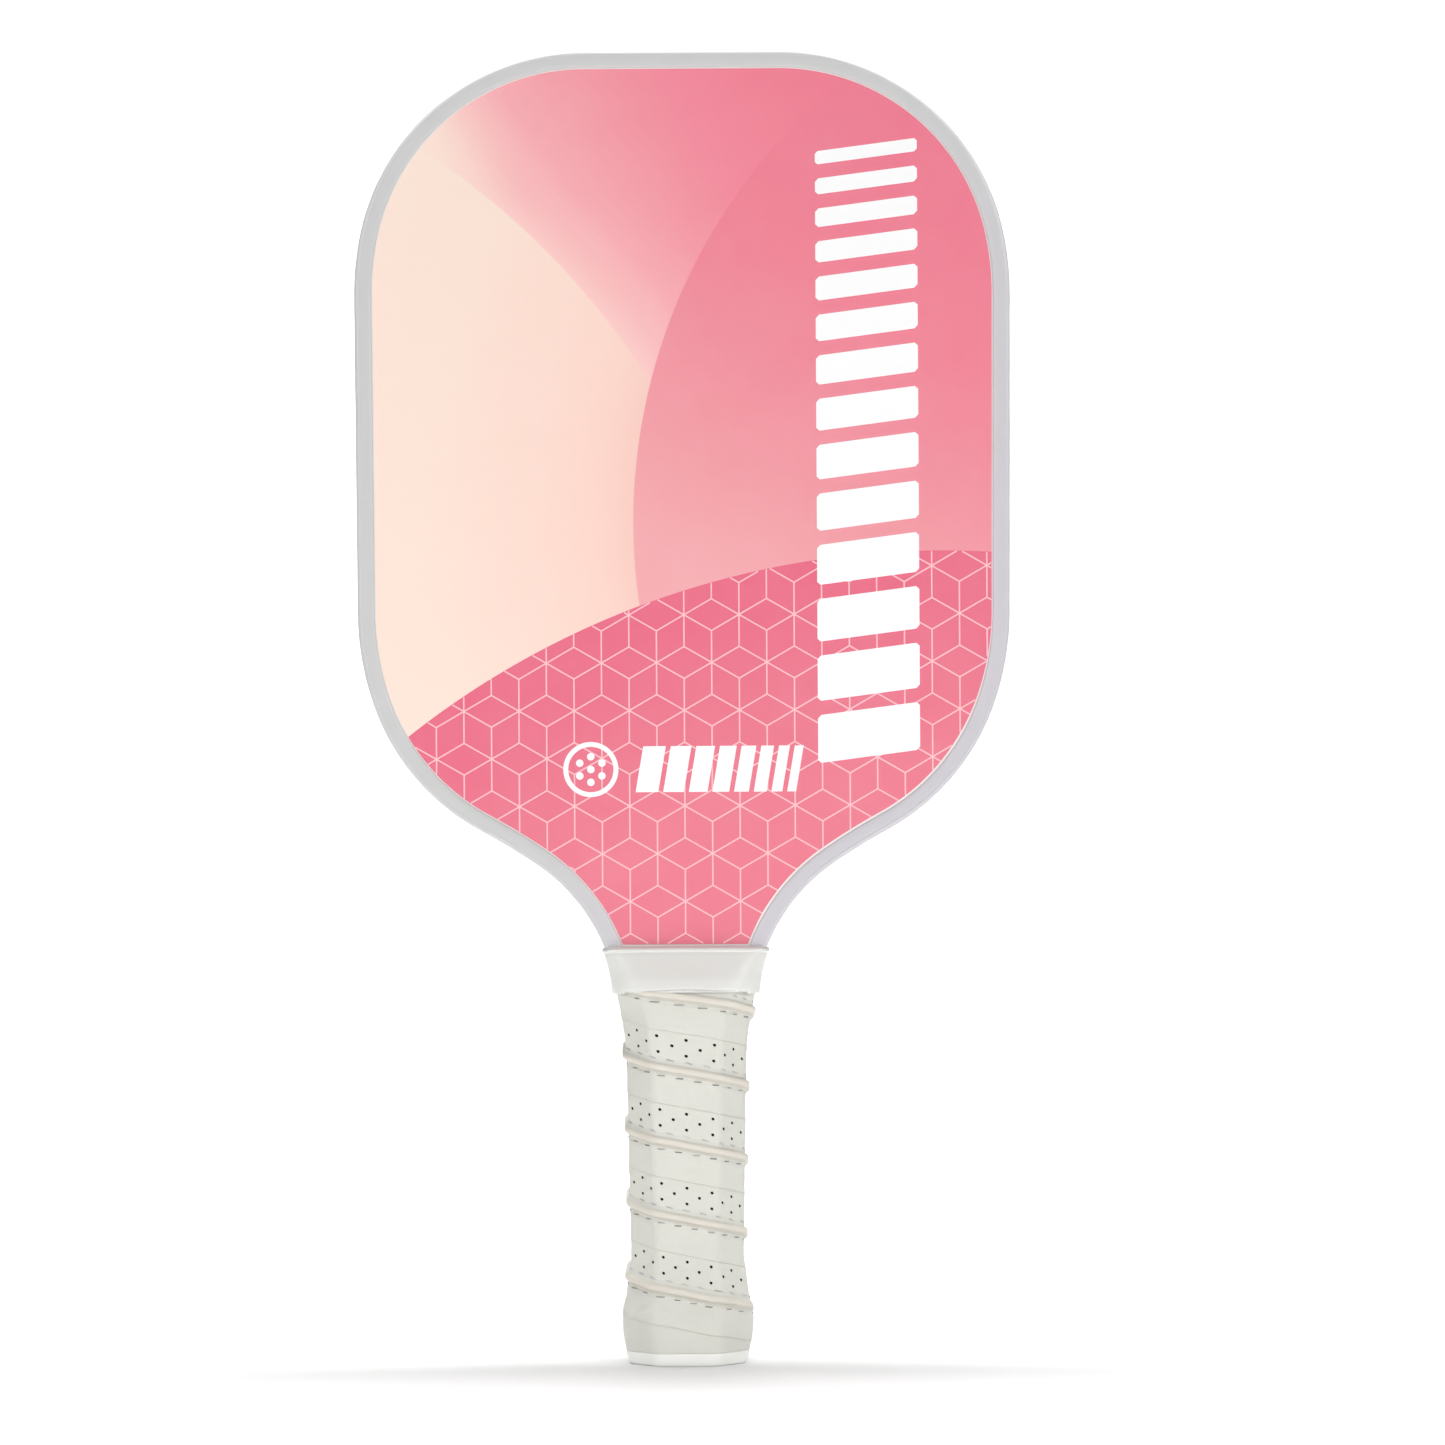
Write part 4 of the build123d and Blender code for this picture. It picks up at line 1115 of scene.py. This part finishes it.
def stitch(middle, v, tilt):
    """One stitch: a short tube that lies on the skin and dives into it at both ends."""
    verts = []
    for k in range(STITCH_STEPS + 1):
        along = -1 + 2 * k / STITCH_STEPS
        turn = middle + along * STITCH_LENGTH / 2 / TURN
        z = RIB_Z0 - PITCH * middle + v + tilt * along * 0.5 - PITCH * (turn - middle)
        dive = 0.30 * max(0, abs(along) - 0.72) / 0.28
        lift = TAPE_T - 0.24 + 0.16 * (1 - along ** 4) - dive
        x, y, normal_x, normal_y = [float(c) for c in octagon(
            turn, tape_width(z), tape_depth(z), tape_bevel(z), tape_skirt(z) + lift)]
        radius = STITCH_RADIUS * (0.72 if k in (0, STITCH_STEPS) else 1.0)
        for m in range(STITCH_ROUND):
            angle = 2 * math.pi * m / STITCH_ROUND
            verts.append((x + normal_x * radius * math.cos(angle),
                          y + normal_y * radius * math.cos(angle),
                          z + radius * math.sin(angle)))
    rings = STITCH_STEPS + 1, STITCH_ROUND
    return verts, ring_faces(*rings) + end_faces(*rings)


def build_stitches():
    parts, index = [], []
    for row, phase, tilt in STITCH_ROWS:
        k = 0
        while True:
            turn = START_TURN + (k + phase) * STITCH_PITCH / TURN
            k += 1
            if turn > STITCHES_END_TURN:
                break
            if RIB_Z0 - PITCH * turn + row < STITCHES_TOP_Z:
                parts.append(stitch(turn, row, tilt))
                # the row below the rib takes the deeper painted shade
                index += [int(row > 0)] * len(parts[-1][1])
    add_piece("grip_stitches", *join(parts), [MATERIALS["thread"], MATERIALS["thread_pale"]],
              index=index, slot="stitch_thread", replaces=("grip_stitching",), angle=80)


# ------------------------------------------------------------------ collar and butt cap
def octagon_rings(profile, share, arch=None):
    """Rings of points for rows of (z, half width, half depth, bevel, rounding)."""
    verts = []
    for z, half_w, half_d, bevel, rounding in profile:
        x, y, *_ = octagon(share, half_w, half_d, bevel, 0.0, rounding)
        lift = arch(share, z) if arch else 0 * share
        verts += zip(x, y, z + lift)
    return verts


# z, half width
collar_width = table([(113.0, 22.45), (114.5, 22.70), (116.6, 23.05), (120.0, 23.72),
                      (123.5, 24.60), (125.2, 25.12), (126.6, 25.45)])
# z, half depth
collar_depth = table([(113.0, 16.4), (116.6, 15.3), (120.0, 13.6), (123.5, 11.8),
                      (125.2, 10.9), (126.6, 10.5)])
# z, bevel
collar_bevel = table([(113.0, 6.9), (118.0, 5.8), (126.6, 3.3)])
# z, how far the outside stands out from the tables above: the rounded foot and the bead
COLLAR_FOOT = [(113.0, -0.36), (113.05, -0.2), (113.2, -0.06), (113.5, 0.0)]
COLLAR_BEAD = [
    (125.0, -0.06), (125.12, 0.04), (125.24, 0.18), (125.42, 0.28), (125.66, 0.32),
    (125.92, 0.28), (126.12, 0.18), (126.26, 0.0), (126.34, -0.2),
]
WALL_Z0, WALL_Z1, WALL_HOLLOW = 114.3, 124.9, 0.10
# the rim slopes up to the blade and closes on it: z, half width, half depth, bevel, rounding
COLLAR_RIM = [
    (126.48, 25.05, 9.7, 2.9, 2.6), (126.66, 24.96, 8.7, 2.2, 2.0),
    (126.86, 24.9, 7.85, 1.6, 1.5), (126.84, 24.86, 7.70, 1.5, 1.4),
    (126.0, 24.8, 7.70, 1.5, 1.4), (125.2, 24.62, 7.85, 1.7, 1.5),
    (124.9, 24.45, 8.3, 2.0, 1.8),
]


def collar_round(z):
    """Corners round all the way, with hardly a flat left between them."""
    return 1.64 * float(collar_bevel(z))


def collar_arch(share, z):
    """Lifts the front and back and lowers the sides, most at the foot."""
    facing = np.cos(2 * math.pi * share) ** 2
    return (facing - 0.35) * np.interp(z, [113.0, 120.0, 126.5], [1.9, 0.9, 0.5])


def build_collar():
    wall = [(z, -WALL_HOLLOW * math.sin(math.pi * (z - WALL_Z0) / 10.6))
            for z in np.linspace(WALL_Z0, WALL_Z1, 12)]
    profile = [(z, collar_width(z) + out, collar_depth(z) + out, collar_bevel(z),
                collar_round(z)) for z, out in COLLAR_FOOT + wall + COLLAR_BEAD]
    profile += COLLAR_RIM
    profile += [(z, collar_width(z) - 0.75, collar_depth(z) - 0.8, collar_bevel(z) * 0.97,
                 collar_round(z) * 0.9) for z in (124.2, 122.0, 118.0, 115.0, 113.6, 113.0)]
    count = 200
    add_piece("throat_collar_boot",
              octagon_rings(profile, np.arange(count) / count, collar_arch),
              ring_faces(len(profile), count, joined=True), [MATERIALS["collar"]],
              slot="collar_rubber", replaces=("throat_collar",), angle=50)


# z, how far the cap's base and its rounded rim stand out from the handle
CAP_BASE = [
    (0.02, 1.6), (0.0, 2.0), (0.06, 2.38), (0.3, 2.66), (0.8, 2.98), (1.6, 3.32), (2.6, 3.62),
    (3.4, 3.80), (3.75, 3.86), (3.95, 3.80), (4.06, 3.62), (4.1, 3.3), (4.1, 2.2),
]
BEVEL_GROWTH = 0.586  # how much a bevel grows for each mm the octagon is offset


def build_cap():
    """The cup: outside from base to top, then the inside down to its floor."""
    base_width = float(width_at(4.0))
    outside = [(z, base_width, out) for z, out in CAP_BASE]
    for z in [5.0] + [z for z, _ in CAP_SKIRT[1:]]:
        outside.append((z, float(width_at(z)), float(cap_skirt_at(z))))
    profile = [(z, half_w + out, HALF_DEPTH + out, BEVEL + BEVEL_GROWTH * out, ROUND + out)
               for z, half_w, out in outside]
    for z in (27.0, 16.0, 2.6):
        profile.append((z, float(width_at(z)) + 0.12, HALF_DEPTH + 0.12, BEVEL + 0.07,
                        ROUND + 0.12))
    count = 160
    rings = len(profile), count
    add_piece("butt_cap_cup", octagon_rings(profile, np.arange(count) / count),
              ring_faces(*rings) + end_faces(*rings), [MATERIALS["cap"]],
              slot="cap_plastic", replaces=("butt_cap",), angle=50)


# ------------------------------------------------------------------ CAD pieces kept as they are
KEPT = {
    "core": ("honeycomb_core",),
    "bond": ("front_bond_film", "back_bond_film", "edge_bond_strip", "front_pallet_glue",
             "back_pallet_glue"),
    "sheet": ("front_face_sheet", "back_face_sheet"),
    "foam": ("front_handle_pallet", "back_handle_pallet"),
    "steel": ("cap_staples",),
    "glue": ("grip_adhesive",),
    "cushion": ("grip_cushion",),
    "cord": ("grip_rib_cord",),
    "vinyl": ("finishing_tape",),
}


def dress_kept_pieces():
    for key, names in KEPT.items():
        for name in names:
            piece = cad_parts[name]
            piece.data.materials.clear()
            piece.data.materials.append(MATERIALS[key])


# ------------------------------------------------------------------ stage, in metres
FLOOR_HALF_WIDTH = 1.1
FLOOR_FRONT, WALL_TOP = -0.95, 4.0
BEND_Y, BEND_RADIUS = 1.95, 0.9  # flat far enough back to leave room behind the paddle


def build_floor():
    g = Graph("stage_floor")
    tone = g.span(g.noise(scale=0.004, detail=2), of=(0.3, 0.7), to=(0, 0.02))
    material = g.done(g.mix(tone, lin((231, 231, 231)), lin((228, 228, 228))), rough=0.75,
                      Specular_IOR_Level=0.15)
    profile = [(FLOOR_FRONT, 0.0), (BEND_Y, 0.0)]
    for k in range(1, 17):
        angle = math.radians(90 * k / 16)
        profile.append((BEND_Y + BEND_RADIUS * math.sin(angle),
                        BEND_RADIUS - BEND_RADIUS * math.cos(angle)))
    profile.append((BEND_Y + BEND_RADIUS, WALL_TOP))
    mesh = bpy.data.meshes.new("floor")
    verts = [(x, y, z) for y, z in profile for x in (-FLOOR_HALF_WIDTH, FLOOR_HALF_WIDTH)]
    faces = [(2 * i, 2 * i + 1, 2 * i + 3, 2 * i + 2) for i in range(len(profile) - 1)]
    mesh.from_pydata(verts, [], faces)
    mesh.materials.append(material)
    for face in mesh.polygons:
        face.use_smooth = True
    floor = bpy.data.objects.new("floor", mesh)
    bpy.context.scene.collection.objects.link(floor)


# name, place, target, size, power in watts, spread in degrees
LIGHTS = [
    ("key", (1.45, -1.68, 1.0), (0, 0, 0.2), (0.9, 0.9), 24.0, 180),
    ("fill", (-1.4, -1.65, 0.55), (0, 0, 0.2), (1.2, 1.2), 17.4, 180),
    ("top", (0.0, 0.17, 1.5), (0, 0, 0.02), (1.9, 0.30), 31, 180),
    ("wall", (0.0, 1.75, 2.6), (0, 2.7, 0.6), (2.2, 0.8), 28, 75),
    ("floor_back", (0.0, 1.15, 1.9), (0, 1.15, 0), (1.6, 0.9), 13, 60),
]


def add_lights():
    for name, place, target, size, power, spread in LIGHTS:
        light = bpy.data.lights.new(name, "AREA")
        light.spread = math.radians(spread)
        light.shape = "RECTANGLE"
        light.size, light.size_y = size
        light.energy = power
        lamp = bpy.data.objects.new(name, light)
        lamp.location = place
        aim = Vector(target) - Vector(place)
        lamp.rotation_euler = aim.to_track_quat("-Z", "Y").to_euler()
        bpy.context.scene.collection.objects.link(lamp)


def add_world():
    world = bpy.data.worlds.new("studio")
    bpy.context.scene.world = world
    world.use_nodes = True
    tree = world.node_tree
    background = tree.nodes["Background"]
    background.inputs[0].default_value = (1, 1, 1, 1)
    ray = tree.nodes.new("ShaderNodeLightPath")
    # dim as a light, but white where the camera looks past the stage
    power = tree.nodes.new("ShaderNodeMapRange")
    power.inputs["To Min"].default_value = 0.12
    power.inputs["To Max"].default_value = 1.05
    tree.links.new(ray.outputs["Is Camera Ray"], power.inputs["Value"])
    tree.links.new(power.outputs[0], background.inputs[1])


def add_camera():
    data = bpy.data.cameras.new("camera")
    data.sensor_width, data.lens = 36.0, 134.35  # mm
    camera = bpy.data.objects.new("camera", data)
    camera.location = (0.0116, -1.65, 0.1951)
    camera.rotation_euler = (math.radians(90), math.radians(0.33), 0)
    scene = bpy.context.scene
    scene.collection.objects.link(camera)
    scene.camera = camera
    scene.view_settings.view_transform = "Standard"
    scene.view_settings.look = "None"


build_guard()
build_print()
build_lattice()
build_white_shapes()
build_skin()
build_stitches()
build_collar()
build_cap()
dress_kept_pieces()
build_floor()
add_lights()
add_world()
add_camera()
